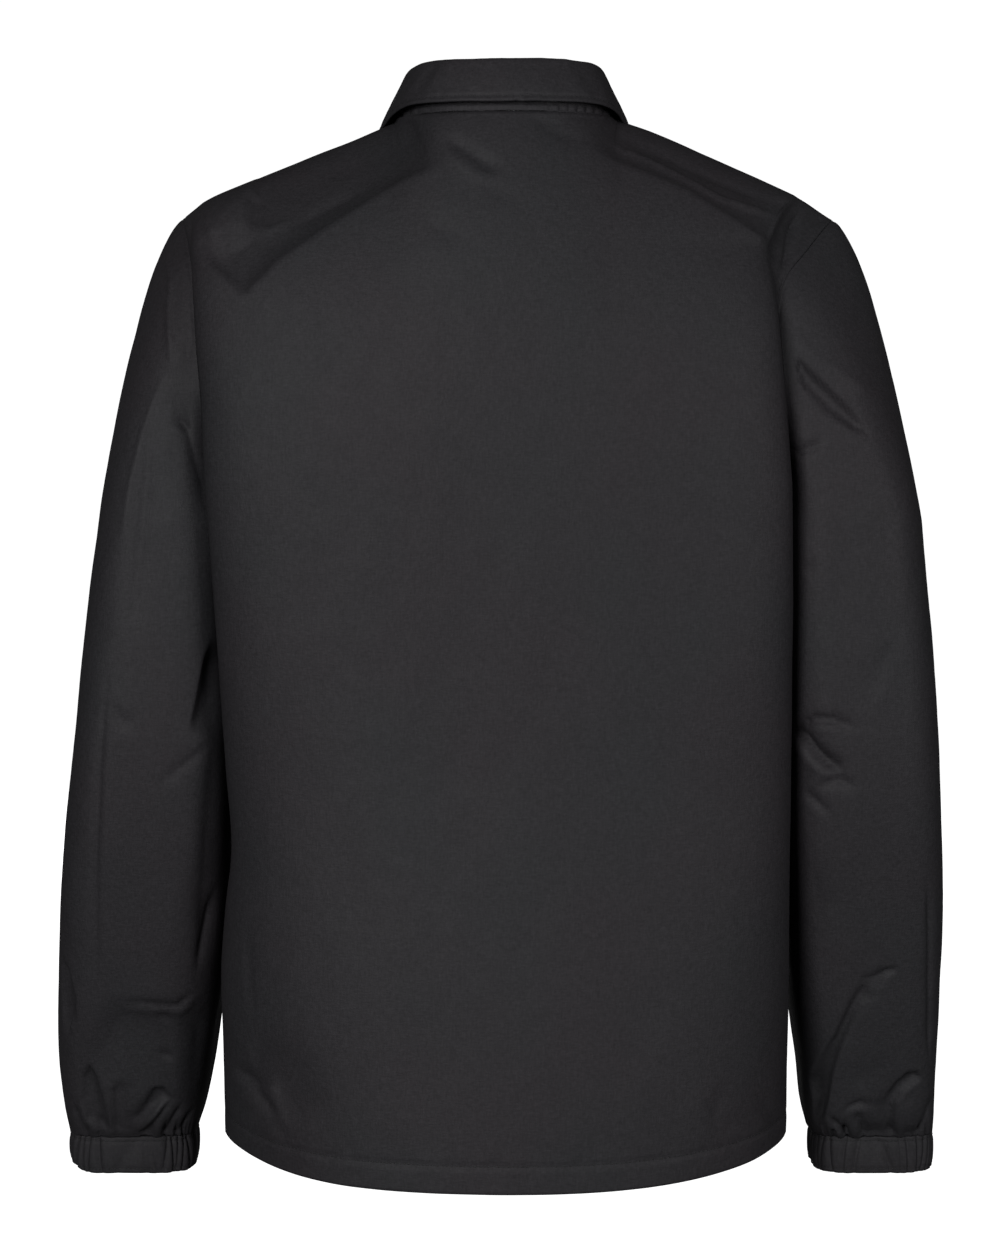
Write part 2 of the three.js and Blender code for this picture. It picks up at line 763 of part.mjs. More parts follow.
function addMesh(name, geometry, material) {
  const mesh = new THREE.Mesh(geometry, material);
  mesh.name = name;
  group.add(mesh);
  return mesh;
}

const back = creased(backNet(), false, BODY_FOLDS);
const leftFront = creased(frontNet('left'), false, BODY_FOLDS);
const rightFront = underLap(creased(frontNet('right'), false, BODY_FOLDS));
const frames = collarFrame(neckLine(back, leftFront, rightFront));
const stand = standNet(frames);

const pieces = [
  { name: 'back_panel', net: back, corner: SIDE_ROWS, seams: ['start', 'end', 'last'] },
  { name: 'front_left', net: leftFront, corner: SIDE_ROWS, seams: ['end', 'last'] },
  { name: 'front_right', net: rightFront, corner: SIDE_ROWS, seams: ['start', 'last'] },
  { name: 'collar_stand', net: stand, wall: COLLAR_CLOTH, gap: STAND_GAP, seams: ['first', 'start', 'end'] },
];
for (const side of ['left', 'right']) {
  const net = gatherSleeve(creased(sleeveNet(side), true, SLEEVE_FOLDS[side]));
  pieces.push({ name: `sleeve_${side}`, net, ring: true, gap: ARMHOLE_GAP, seams: ['first'] });
}
shareNormals(pieces);
for (const piece of pieces) {
  const outer = drawBack(piece, piece.seams);
  const inner = thicken(outer, piece.normals, piece.wall ?? CLOTH);
  addMesh(piece.name, wallGeometry(outer, inner, piece.ring), nylon);
}

const leaf = leafNet(frames, stand);
addMesh('collar_leaf', wallGeometry(leaf, thicken(leaf, netNormals(leaf, false), CLOTH), false), nylon);

for (const side of ['left', 'right']) {
  const { outer, inner } = cuffNets(side);
  addMesh(`cuff_${side}`, wallGeometry(outer, inner, true), nylonCuff);
}

// Snap caps down the placket, each seated square on the left front
function snapGeometry() {
  const profile = [
    [0, 0],
    [SNAP_RADIUS, 0],
    [SNAP_RADIUS, SNAP_HEIGHT * 0.35],
    [SNAP_RADIUS * 0.8, SNAP_HEIGHT * 0.82],
    [0, SNAP_HEIGHT],
  ];
  return new THREE.LatheGeometry(profile.map(([r, h]) => new THREE.Vector2(r, h)), 14);
}

for (let i = 0; i < SNAP_COUNT; i += 1) {
  const z = SNAP_TOP_Z - i * SNAP_PITCH;
  const at = (height) => new THREE.Vector3(
    0,
    height > UNDERARM_Z ? upperY('left', 'front', 0, height) : sectionY('left', 'front', height, 0),
    height,
  );
  const rise = at(z + SNAP_RADIUS).sub(at(z - SNAP_RADIUS));
  const normal = new THREE.Vector3(0, -rise.z, rise.y).normalize();
  const cap = addMesh(`snap_${i + 1}`, snapGeometry(), enamel);
  cap.position.copy(at(z)).addScaledVector(normal, SEAM_GAP);
  cap.quaternion.setFromUnitVectors(new THREE.Vector3(0, 1, 0), normal);
}

export default group;
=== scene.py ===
"""The finish of a coach jacket: black nylon cloth, its creases, sewing, gathers and snaps.

Shapes are worked out in millimetres, in the frame of the part: X to the wearer's left, Y to
the back, Z up, from the middle of the neck. They become metres only when a mesh is made.
"""
import math

import bpy
import numpy as np
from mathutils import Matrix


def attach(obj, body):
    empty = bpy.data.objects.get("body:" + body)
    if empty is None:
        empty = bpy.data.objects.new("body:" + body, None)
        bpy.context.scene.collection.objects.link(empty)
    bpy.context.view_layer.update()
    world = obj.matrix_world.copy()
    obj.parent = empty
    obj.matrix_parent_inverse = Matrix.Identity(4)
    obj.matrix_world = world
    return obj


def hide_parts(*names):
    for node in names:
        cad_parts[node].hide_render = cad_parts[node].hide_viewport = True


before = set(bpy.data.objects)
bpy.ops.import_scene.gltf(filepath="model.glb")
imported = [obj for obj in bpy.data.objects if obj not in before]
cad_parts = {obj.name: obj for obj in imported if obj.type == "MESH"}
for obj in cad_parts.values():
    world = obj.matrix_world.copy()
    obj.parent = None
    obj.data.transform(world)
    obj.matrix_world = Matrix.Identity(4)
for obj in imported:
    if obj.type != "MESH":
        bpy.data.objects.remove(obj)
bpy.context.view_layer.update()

MM = 0.001


# Camera, at the height and distance from which the photograph was taken

CAMERA_PLACE = (3.5, 1800.0, -230.0)
CAMERA_TILT = 3.857
CAMERA_LENS = 74.75


def make_camera():
    data = bpy.data.cameras.new("camera")
    data.lens = CAMERA_LENS
    data.sensor_width = 36
    data.clip_end = 50
    camera = bpy.data.objects.new("camera", data)
    camera.location = [value * MM for value in CAMERA_PLACE]
    camera.rotation_euler = (math.radians(90 - CAMERA_TILT), 0, math.radians(180))
    bpy.context.scene.collection.objects.link(camera)
    bpy.context.scene.camera = camera


make_camera()


# Driving sizes

SHELL = 1.0
COLLAR_SHELL = 1.5
SEAM_GAP = 0.35
HEM_Z = -712.5
HEM_RISE = 14
HEM_DEPTH = 18
UNDERARM_Z = -252
NECK_HALF_WIDTH = 76
BACK_NECK = (78, -7.5)
FRONT_NECK = (-85, -75)
NECK_ROUNDNESS = 2.3
SHOULDER_FORWARD = 4
PLACKET_LAP = 15
LAP_DEPTH = 2.4
LAP_EASE = 26
SLEEVE_END_Z = -717
BICEP_Z = -278
SLEEVE_ROUNDNESS = (3.5, 3.2)
CAP_OUT = (26, 80)
CAP_DOWN = (0.3, 0.25)
CAP_FLARE = 0.45
CUFF_HEIGHT = 25
SNAP_RADIUS = 7.5
SNAP_HEIGHT = 2.6
SNAP_TOP_Z = -100
SNAP_PITCH = 108
SNAP_COUNT = 6

# How finely the cloth is divided
NECK_STEPS = 30
SHOULDER_STEPS = 46
LIP_STEPS = 16
HEM_ROWS = 32
SIDE_ROWS = 92
ARMHOLE_ROWS = 96
CAP_ROWS = 54
SLEEVE_ROWS = 172
CUFF_STEPS = 512


def table(names, *rows):
    columns = np.array(rows, float).T
    return dict(zip(names.split(), columns))


BODY = {
    "left": table(
        "z fold foldY back roundness seam frontFold frontFoldY front",
        (-713, 195, 12, 143, 2.1, 193.5, 193, -12, 134),
        (-650, 195, 22, 140, 2.2, 189, 191, -24, 130),
        (-590, 195, 32, 136, 2.3, 184, 190, -36, 126),
        (-545, 191.5, 40, 132, 2.4, 180, 189, -44, 123),
        (-500, 186.5, 46, 128, 2.5, 177, 188, -50, 121),
        (-445, 189.5, 53, 124, 2.5, 175.5, 188, -56, 119),
        (-390, 192.5, 59, 122, 2.6, 175, 188, -61, 118),
        (-320, 196, 68, 121, 2.6, 175, 188, -67, 118),
        (-252, 200, 74, 120, 2.6, 176, 189, -72, 118),
    ),
    "right": table(
        "z fold foldY back roundness seam frontFold frontFoldY front",
        (-713, 196, 12, 143, 2.1, 194, 193, -12, 134),
        (-650, 195.5, 22, 140, 2.2, 189, 191, -24, 130),
        (-590, 195, 32, 136, 2.3, 184, 190, -36, 126),
        (-545, 194, 40, 132, 2.4, 180, 189, -44, 123),
        (-500, 193.5, 46, 128, 2.5, 177, 188, -50, 121),
        (-445, 193.5, 53, 124, 2.5, 175, 188, -56, 119),
        (-390, 193, 60, 122, 2.6, 173.5, 188, -61, 118),
        (-320, 192.5, 70, 121, 2.6, 172, 188, -67, 118),
        (-252, 191, 76, 120, 2.6, 172, 189, -72, 118),
    ),
}
UPPER_FOLD = {
    "left": table(
        "z back front",
        (-252, 200, 189),
        (-200, 202, 191),
        (-150, 206, 196),
        (-97, 209, 203),
        (-64, 208, 208),
    ),
    "right": table(
        "z back front",
        (-252, 191, 189),
        (-200, 187, 190),
        (-150, 183, 193),
        (-124, 180, 195),
        (-97, 177, 197),
        (-86, 184, 198),
        (-58, 200, 200),
    ),
}
SHOULDER = table(
    "x left right",
    (76, -6, -5),
    (100, -16.5, -13.7),
    (126, -26.9, -24.1),
    (152, -38, -35),
    (180, -49.5, -47.3),
    (205, -60.6, -59.8),
    (226, -74, -72.5),
)
ARMHOLE = {
    "left": table(
        "x y z",
        (176, 0, -252),
        (186, 42, -235),
        (196, 64, -195),
        (203, 62, -155),
        (208.5, 52, -122),
        (214, 34, -94),
        (221.5, -4, -70.8),
        (214, -30, -92),
        (204, -50, -125),
        (193, -58, -175),
        (184, -44, -228),
    ),
    "right": table(
        "x y z",
        (172, 0, -252),
        (180, 40, -237),
        (179, 63, -200),
        (180, 65, -155),
        (186, 58, -119),
        (204.5, 35, -95),
        (225.6, -3, -72),
        (216, -30, -93),
        (205, -50, -125),
        (191, -58, -175),
        (181, -44, -228),
    ),
}
TIP_POINT = 6
SLEEVE = {
    "left": table(
        "z outer inner middleY halfDepth",
        (-717, 312.5, 221.5, -45, 33),
        (-712, 313, 220, -45, 38),
        (-697, 315, 216, -44, 45),
        (-667, 317, 210, -40, 52),
        (-637, 317, 205, -34, 56),
        (-607, 315.7, 200, -27, 58),
        (-548, 311.5, 194, -14, 60),
        (-490, 306, 191, -3, 62),
        (-433, 298.7, 189, 3, 64),
        (-376, 290.8, 188, 4, 66),
        (-320, 283, 187, 2, 69),
        (-278, 277, 186, 0, 71),
    ),
    "right": table(
        "z outer inner middleY halfDepth",
        (-717, 307.5, 219.5, -45, 33),
        (-712, 308, 217, -45, 38),
        (-697, 308, 214, -44, 45),
        (-667, 308, 211, -40, 52),
        (-637, 308, 206, -34, 56),
        (-607, 307.5, 201, -27, 58),
        (-548, 306.5, 196, -14, 60),
        (-490, 302.3, 192, -3, 62),
        (-433, 298, 190, 3, 64),
        (-376, 293.2, 188, 4, 66),
        (-320, 288, 186, 2, 69),
        (-278, 284.5, 184, 0, 71),
    ),
}
STAND = table(
    "along rise lean",
    (0, 31.5, -9),
    (0.5, 31, -9.5),
    (0.75, 29.5, -10),
    (1, 24.5, -10.5),
    (1.5, 20.5, -6.5),
    (2, 19.5, -3),
)
LEAF_BACK = table(
    "along out up",
    (0, 5, 6),
    (0.5, 6, 6),
    (0.75, 6.4, 1.6),
    (0.88, 7.6, -3.2),
    (1, 10.5, -6),
)
LEAF_FRONT = table(
    "along x z",
    (1, 86.5, -12),
    (1.2, 91, -18),
    (1.5, 88, -52),
    (1.75, 72, -84),
    (2, 50, -112),
)
LEAF_ROLL = [(-2.2, 1.4), (-1.4, 3), (0.7, 3.8), (3.6, 2.2)]
LEAF_BULGE = 0.8
LEAF_CLEAR = (8, 4.2)


# Creases: a trough along a line of (x, z) points, on the back (side 1) or the front (-1).
# width is half of the trough, depth how far it goes in, ridge how far the cloth beside it
# stands out, to the left of the line's travel or, where minus, to the right. fade is the share
# of its length over which it starts and ends.
# Facets fall away on one side of a line only, with a crisp edge along it: hand is 1 for the
# left of the line's travel and -1 for the right.

CREASE = "side width depth ridge fade points".split()
FACET = "side width depth hand fade points".split()


def creases(*rows):
    return [dict(zip(CREASE, row)) for row in rows]


def facets(*rows):
    return [dict(zip(FACET, row)) for row in rows]


BACK_FACETS = facets(
    # Under the left shoulder, with its tip beside the armhole
    (1, 30, 11.0, 1, 0.14, [(34, -40), (48, -47), (68, -54), (112, -81), (148, -106), (171, -129), (196, -109),
                          (213, -89)]),
    # Under the right shoulder: the dark slope above its crisp lower edge
    (1, 24, 7.5, -1, 0.2, [(-46, -28), (-83, -44), (-121, -60), (-172, -91), (-184, -116)]),
    # The lower left corner
    (1, 11, 3.0, -1, 0.25, [(188, -648), (177, -657), (167, -660), (156, -653), (152, -664), (147, -683)]),
)
BACK_CREASES = creases(
    # What lies in the hollow under the left shoulder
    (1, 6, 2.2, 0, 0.4, [(90, -52), (118, -64), (146, -80)]),
    (1, 4.5, -2.0, 0, 0.4, [(140, -70), (160, -80), (183, -74)]),
    (1, 3.0, 2.2, 0.8, 0.35, [(205, -72), (201, -92), (190, -106), (172, -124)]),
    (1, 3.6, -1.2, 0, 0.5, [(188, -79), (200, -87)]),
    (1, 2.4, 2.4, 0, 0.5, [(214, -72), (211, -88)]),
    # The crease that runs down from the neck, and the next one
    (1, 4.6, 3.4, 1.4, 0.3, [(41, -23), (20, -38), (1, -52)]),
    (1, 7, 1.1, 0, 0.5, [(22, -52), (6, -62), (-14, -68)]),
    (1, 9, 1.0, -0.4, 0.5, [(60, -60), (48, -82), (20, -98)]),
    # The sharp ridge above the right hollow, and the narrow dark band over it
    (1, 6, 2.0, 0, 0.35, [(-16, -8), (-36, -22), (-56, -28)]),
    (1, 2.2, -2.6, 0, 0.2, [(-62, -19), (-98, -35), (-145, -60), (-196, -72)]),
    (1, 3.6, 2.2, 0, 0.3, [(-70, -14), (-104, -27), (-148, -46), (-200, -64)]),
    (1, 2.4, 3.4, 0, 0.3, [(-205, -63), (-200, -76), (-192, -96), (-183, -116)]),
    # Broad soft undulations down the back
    (1, 26, 1.6, 0, 0.45, [(48, -160), (20, -290), (34, -420), (26, -520)]),
    (1, 22, 1.2, 0, 0.45, [(92, -270), (74, -372), (38, -430), (34, -540)]),
    (1, 24, 1.4, 0, 0.45, [(-112, -180), (-128, -272), (-120, -400)]),
    (1, 18, 1.0, 0, 0.5, [(-34, -260), (-42, -340), (-30, -440)]),
    (1, 22, 1.4, 0, 0.45, [(-148, -330), (-160, -420), (-142, -540)]),
    (1, 24, 1.1, 0, 0.5, [(120, -420), (108, -540), (124, -640)]),
    (1, 22, 1.2, 0, 0.5, [(-76, -470), (-92, -580), (-70, -680)]),
    (1, 18, 0.9, 0, 0.5, [(50, -560), (60, -640), (44, -700)]),
    # The lower corners
    (1, 4.5, 3.0, 0, 0.35, [(190, -640), (170, -655), (156, -669), (150, -684)]),
    (1, 6, -1.2, 0, 0.5, [(184, -664), (170, -666), (160, -662)]),
    (1, 2.2, 1.6, 0.5, 0.4, [(173, -540), (171, -581), (168, -618)]),
    (1, 5, -0.9, 0, 0.5, [(186, -600), (180, -630), (170, -640)]),
    (1, 5, 1.6, -0.7, 0.45, [(-166, -655), (-178, -676), (-190, -694)]),
    (1, 7, 1.2, 0.5, 0.5, [(-150, -640), (-140, -668), (-142, -700)]),
    # Puckers along the hem's stitching
    (1, 3.2, 0.7, 0, 0.5, [(150, -672), (147, -690)]),
    (1, 3.2, 0.6, 0, 0.5, [(104, -676), (98, -698)]),
    (1, 3.0, 0.5, 0, 0.5, [(60, -684), (64, -702)]),
    (1, 3.2, 0.6, 0, 0.5, [(12, -684), (6, -704)]),
    (1, 3.2, 0.6, 0, 0.5, [(-52, -680), (-46, -702)]),
    (1, 3.0, 0.7, 0, 0.5, [(-104, -674), (-112, -698)]),
    (1, 3.2, 0.8, 0, 0.5, [(-152, -668), (-146, -690)]),
)
# Puckers just under the neck seam: place across, size and lean
NECK_PUCKERS = table(
    "x depth lean",
    (77, 1.6, 3),
    (71, 1.9, -2),
    (65, 1.6, 2),
    (59, 0.9, 3),
    (50, 0.4, 1),
    (23, 0.7, 4),
    (16, 0.9, 5),
    (9, 0.6, 3),
    (-14, 0.3, 0),
    (-30, 0.8, -3),
    (-37, 1.3, -4),
    (-43, 1.7, -4),
    (-49, 2.0, -5),
    (-55, 2.0, -5),
    (-61, 1.8, -5),
    (-67, 1.5, -5),
    (-73, 1.2, -4),
)
FRONT_CREASES = creases(
    (-1, 15, 4, -1.6, 0.3, [(78, -100), (112, -150), (146, -230), (166, -300)]),
    (-1, 15, 4, 1.6, 0.3, [(-80, -98), (-110, -156), (-142, -226), (-168, -310)]),
    (-1, 8, 2, 0, 0.4, [(120, -86), (158, -118), (186, -162)]),
    (-1, 8, 2.2, 0, 0.4, [(-116, -88), (-160, -124), (-184, -170)]),
    (-1, 24, 2.4, 0, 0.45, [(62, -240), (76, -420), (66, -600)]),
    (-1, 24, 2.2, 0, 0.45, [(-66, -250), (-84, -430), (-70, -620)]),
    (-1, 20, 2.0, 0, 0.45, [(128, -330), (142, -470), (126, -610)]),
    (-1, 20, 2.0, 0, 0.45, [(-126, -350), (-144, -480), (-130, -620)]),
    (-1, 6, 2.4, -1.2, 0.4, [(180, -560), (152, -620), (120, -690)]),
    (-1, 6, 2.2, 1.2, 0.4, [(-182, -570), (-156, -626), (-124, -692)]),
    (-1, 4, 1.0, 0, 0.5, [(16, -140), (44, -156)]),
    (-1, 4, 1.0, 0, 0.5, [(16, -250), (50, -240)]),
    (-1, 4, 1.0, 0, 0.5, [(16, -356), (46, -372)]),
    (-1, 4, 0.9, 0, 0.5, [(-18, -300), (-48, -312)]),
    (-1, 4, 0.9, 0, 0.5, [(-18, -420), (-50, -410)]),
    (-1, 4, 0.9, 0, 0.5, [(-18, -540), (-46, -556)]),
)
SLEEVE_CREASES = {
    "left": creases(
        # The bright ridge down the upper arm and the trough beside it
        (1, 3.0, -2.4, 0, 0.25, [(232, -88), (224, -114), (225, -134), (223, -176)]),
        (1, 4, -1.7, 0, 0.3, [(224, -176), (229, -183), (236, -200), (242, -219), (250, -251), (257, -296)]),
        (1, 6, 2.4, 0, 0.35, [(222, -180), (218, -200), (210, -222), (202, -250), (200, -280)]),
        (1, 2.6, 2.2, 0.8, 0.4, [(222, -208), (209, -217)]),
        (1, 6, 1.6, 0, 0.4, [(212, -110), (210, -150), (214, -190)]),
        (1, 5, 1.8, 0, 0.4, [(240, -200), (238, -240), (244, -300), (250, -360)]),
        # The outer edge
        (1, 2.6, 1.8, -0.5, 0.3, [(266, -380), (273, -443), (279, -523), (281, -580), (284, -620)]),
        (1, 3.0, 1.8, 0, 0.4, [(265, -398), (255, -414), (247, -404)]),
        # The elbow and the dark inner side of the forearm
        (1, 3.4, 1.8, 0, 0.4, [(196, -425), (206, -434), (222, -446), (236, -458)]),
        (1, 9, 3.0, 0, 0.3, [(198, -425), (200, -470), (205, -530), (211, -580)]),
        (1, 4, 3.4, 0, 0.35, [(196, -524), (205, -560), (214, -594)]),
        # Below the deep crease across the forearm
        (1, 3.0, 3.6, 1.2, 0.3, [(266, -607), (256, -611), (240, -613), (226, -614), (214, -603)]),
        (1, 2.8, 2.2, 0, 0.5, [(246, -649), (238, -653), (227, -655)]),
        (1, 2.8, 2.0, 0, 0.5, [(243, -618), (230, -628)]),
        # Gathers fanning up from the cuff
        (1, 2.4, 2.4, 0.8, 0.3, [(230, -682), (240, -694), (250, -707), (257, -720)]),
        (1, 2.8, 2.8, 0, 0.3, [(226, -688), (235, -704), (243, -720)]),
        (1, 2.2, 2.4, 0, 0.3, [(219, -694), (228, -708), (234, -720)]),
        (1, 2.2, 2.4, 0, 0.3, [(305, -688), (301, -704), (296, -720)]),
        (1, 2.4, -1.6, 0, 0.3, [(238, -688), (249, -701), (262, -717)]),
        # The hidden side
        (-1, 9, 5.0, -1.6, 0.3, [(198, -410), (232, -430), (268, -456)]),
        (-1, 8, 4.2, 1.2, 0.3, [(202, -470), (230, -500), (262, -512)]),
        (-1, 9, 4.0, 0, 0.35, [(206, -560), (240, -580), (284, -574)]),
        (-1, 9, 3.4, 0, 0.35, [(206, -270), (234, -320), (262, -350)]),
        (-1, 8, 3.0, 0, 0.35, [(224, -120), (236, -180), (226, -240)]),
        (-1, 4.4, 3.2, 0, 0.3, [(292, -650), (286, -690), (280, -720)]),
        (-1, 4.4, 3.0, 0, 0.3, [(266, -656), (270, -690), (268, -720)]),
        (-1, 4.4, 3.2, 0, 0.3, [(238, -668), (248, -696), (256, -720)]),
        (-1, 3.4, 2.6, 0, 0.3, [(222, -680), (234, -702), (240, -720)]),
    ),
    "right": creases(
        # The deep crease across the upper arm, with the lighter band above it
        (1, 7, -1.6, 0, 0.3, [(-184, -148), (-205, -168), (-230, -185), (-259, -199)]),
        (1, 2.6, 3.0, 0, 0.4, [(-184, -230), (-197, -231), (-208, -227), (-211, -218)]),
        (1, 3.0, 1.4, 0, 0.5, [(-194, -309), (-204, -309), (-210, -302)]),
        (1, 9, 1.6, 0, 0.5, [(-248, -236), (-254, -280), (-250, -330)]),
        (1, 10, 1.4, 0, 0.5, [(-232, -262), (-226, -330), (-234, -390)]),
        (1, 5, 1.8, -0.6, 0.4, [(-262, -352), (-250, -376), (-240, -410)]),
        # The elbow
        (1, 2.6, 4.4, 0.8, 0.3, [(-190, -420), (-200, -415), (-208, -411), (-220, -411), (-238, -418)]),
        (1, 4.0, 8.0, 1.6, 0.25, [(-188, -417), (-199, -422), (-209, -433), (-218, -440), (-230, -446)]),
        (1, 3.2, 4.0, 0, 0.4, [(-211, -458), (-217, -454), (-224, -451), (-237, -458)]),
        (1, 2.4, 2.6, 0, 0.4, [(-200, -458), (-210, -467), (-221, -477)]),
        (1, 12, 2.0, 0, 0.5, [(-204, -490), (-212, -540), (-206, -590)]),
        (1, 9, 1.4, 0, 0.5, [(-258, -440), (-252, -500), (-262, -560)]),
        # The fold along the outer edge
        (1, 2.4, 3.0, 0, 0.25, [(-288, -520), (-292, -556), (-295, -610), (-298, -662)]),
        (1, 9, 1.6, 0, 0.5, [(-266, -646), (-254, -664), (-240, -684)]),
        # Gathers above the cuff
        (1, 2.4, 3.6, 0, 0.3, [(-304, -684), (-296, -708), (-288, -722)]),
        (1, 2.2, 3.4, 0.8, 0.4, [(-238, -697), (-243, -690), (-250, -687), (-258, -693)]),
        (1, 2.4, 3.8, 0, 0.3, [(-246, -692), (-252, -706), (-258, -722)]),
        (1, 2.2, 3.6, 0.8, 0.3, [(-228, -697), (-236, -707), (-246, -719)]),
        (1, 2.0, 2.6, 0, 0.3, [(-262, -702), (-264, -720)]),
        (1, 2.0, 2.6, 0, 0.3, [(-232, -708), (-235, -722)]),
        (1, 6.0, -1.2, 0, 0.3, [(-284, -684), (-286, -714)]),
        # The hidden side
        (-1, 9, 5.0, 1.6, 0.3, [(-200, -416), (-232, -430), (-264, -452)]),
        (-1, 8, 4.2, -1.2, 0.3, [(-204, -476), (-232, -500), (-260, -508)]),
        (-1, 9, 4.0, 0, 0.35, [(-206, -566), (-240, -584), (-280, -576)]),
        (-1, 9, 3.4, 0, 0.35, [(-206, -280), (-234, -322), (-260, -346)]),
        (-1, 8, 3.0, 0, 0.35, [(-226, -118), (-238, -184), (-228, -236)]),
        (-1, 4.4, 3.2, 0, 0.3, [(-288, -652), (-282, -690), (-276, -720)]),
        (-1, 4.4, 3.0, 0, 0.3, [(-262, -656), (-266, -690), (-262, -720)]),
        (-1, 4.4, 3.2, 0, 0.3, [(-236, -668), (-246, -696), (-252, -720)]),
        (-1, 3.4, 2.6, 0, 0.3, [(-222, -682), (-232, -702), (-238, -720)]),
    ),
}
SLEEVE_FACETS = {
    "left": facets(
        # Beside the body at the elbow, and below the crease across the forearm
        (1, 9, 6.0, 1, 0.3, [(214, -425), (208, -398), (203, -372), (197, -352)]),
        (1, 24, 6.5, 1, 0.4, [(276, -600), (258, -611), (240, -613), (226, -614), (206, -602)]),
        # Hollows with edges all round: by the outer edge, and three like fingers over the cuff
        (1, 7, 4.0, 1, 0.1, [(309, -639), (310, -607), (307.5, -581), (302, -587), (297.5, -607), (297, -631)]),
        (1, 7, 5.0, 1, 0.08, [(284, -715), (296, -702), (299, -686), (297, -668), (291.5, -658), (285, -670),
                              (281.5, -686), (279, -702), (278.5, -715)]),
        (1, 6, 4.6, 1, 0.08, [(277.5, -714), (277, -696), (276, -680), (271, -670), (265.5, -678),
                              (265, -689), (269, -704), (272, -714)]),
        (1, 6, 5.0, 1, 0.08, [(270, -714), (265, -704), (255, -688.5), (247, -676.5), (238, -677), (233, -685),
                              (244.5, -693.5), (255.5, -704), (265, -714)]),
    ),
    "right": facets(
        # The trough across the upper arm
        (1, 6, 5.5, 1, 0.08, [(-189, -174), (-194.5, -169), (-215, -188), (-232, -204.5), (-244, -219),
                              (-232, -217), (-215, -206), (-201, -191.5), (-190.5, -179.5)]),
        # The long one down the forearm, and the arch over the cuff
        (1, 5.2, 5.5, 1, 0.05, [(-220, -710), (-218.5, -688), (-214, -672), (-217, -661), (-223, -646), (-229, -634),
                                (-235.5, -616), (-242, -602), (-251, -591), (-262, -585), (-272.5, -585),
                                (-259, -594.5), (-251, -604), (-244.5, -616), (-238.5, -632), (-233, -648),
                                (-229.5, -664.5), (-228, -684), (-224.5, -710)]),
        (1, 5, 4.6, 1, 0.06, [(-271, -718), (-266, -702), (-263, -691), (-266.5, -681), (-273, -671), (-281, -664),
                              (-290, -664), (-293, -670), (-285.5, -675), (-279.5, -680.5), (-275, -688.5),
                              (-275, -702), (-277.5, -720)]),
    ),
}


# Numbers

def mix(a, b, t):
    return a + (b - a) * t


def smooth(t):
    t = np.clip(t, 0, 1)
    return t * t * (3 - 2 * t)


def hermite(a, slope_a, b, slope_b, t):
    s = 1 - t
    return a * s * s * (1 + 2 * t) + slope_a * t * s * s + b * t * t * (3 - 2 * t) - slope_b * t * t * s


def read(sheet, name, at):
    """Reads a column at any place between the rows, which run upwards in the first column."""
    key = next(iter(sheet.values()))
    column = sheet[name]
    last = len(key) - 1
    spots = np.arange(last + 1)
    before = np.maximum(spots - 1, 0)
    after = np.minimum(spots + 1, last)
    slope = (column[after] - column[before]) / (key[after] - key[before])
    at = np.clip(at, key[0], key[-1])
    i = np.clip(np.searchsorted(key, at) - 1, 0, last - 1)
    span = key[i + 1] - key[i]
    return hermite(column[i], slope[i] * span, column[i + 1], slope[i + 1] * span, (at - key[i]) / span)


def power_root(share, n):
    return np.maximum(1 - share ** n, 0) ** (1 / n)


def length_of(vectors):
    return np.linalg.norm(vectors, axis=-1, keepdims=True)


def unit(vectors):
    return vectors / np.maximum(length_of(vectors), 1e-9)


def points(x, y, z):
    return np.stack(np.broadcast_arrays(x, y, z), axis=-1).astype(float)


# Sections of the body

def section_y(side, face, z, x):
    body = BODY[side]
    back = face == "back"
    edge_x = read(body, "fold" if back else "frontFold", z)
    edge_y = read(body, "foldY" if back else "frontFoldY", z)
    depth = read(body, "back", z) if back else -read(body, "front", z)
    share = np.clip(x / edge_x, 0, 1)
    return edge_y + (depth - edge_y) * power_root(share, read(body, "roundness", z))


def fold_width(side, face, z):
    below = read(BODY[side], "fold" if face == "back" else "frontFold", z)
    above = read(UPPER_FOLD[side], face, z)
    return np.where(z > UNDERARM_Z, above, below)


def fold_top(side):
    return UPPER_FOLD[side]["back"][-1]


def spread(side, face, z):
    return fold_width(side, face, z) / fold_top(side)


def column_top(side, face, x):
    """Where a column of cloth ends: on the neck seam, or on the shoulder line."""
    reach = fold_top(side) - NECK_HALF_WIDTH
    shoulder_y = -SHOULDER_FORWARD * np.maximum(x - NECK_HALF_WIDTH, 0) / reach
    neck = BACK_NECK if face == "back" else FRONT_NECK
    share = power_root(np.clip(np.abs(x) / NECK_HALF_WIDTH, 0, 1), NECK_ROUNDNESS)
    neck_z = mix(read(SHOULDER, side, float(NECK_HALF_WIDTH)), neck[1], share ** 1.3)
    on_shoulder = x > NECK_HALF_WIDTH
    y = np.where(on_shoulder, shoulder_y, neck[0] * share)
    z = np.where(on_shoulder, read(SHOULDER, side, x), neck_z)
    return y, z, np.where(on_shoulder, shoulder_y, 0)


def upper_y(side, face, top_x, z):
    top_y, top_z, centre = column_top(side, face, top_x)
    base_x = top_x * (fold_width(side, face, UNDERARM_Z) / fold_top(side))
    base_y = section_y(side, face, UNDERARM_Z, base_x) - centre
    n = mix(2.2, 2.8, (top_x / fold_top(side)) ** 2)
    cut = (top_y - centre) / base_y
    height = (top_z - UNDERARM_Z) / power_root(cut, n)
    share = np.clip((z - UNDERARM_Z) / height, 0, 1)
    return centre + base_y * power_root(share, n)


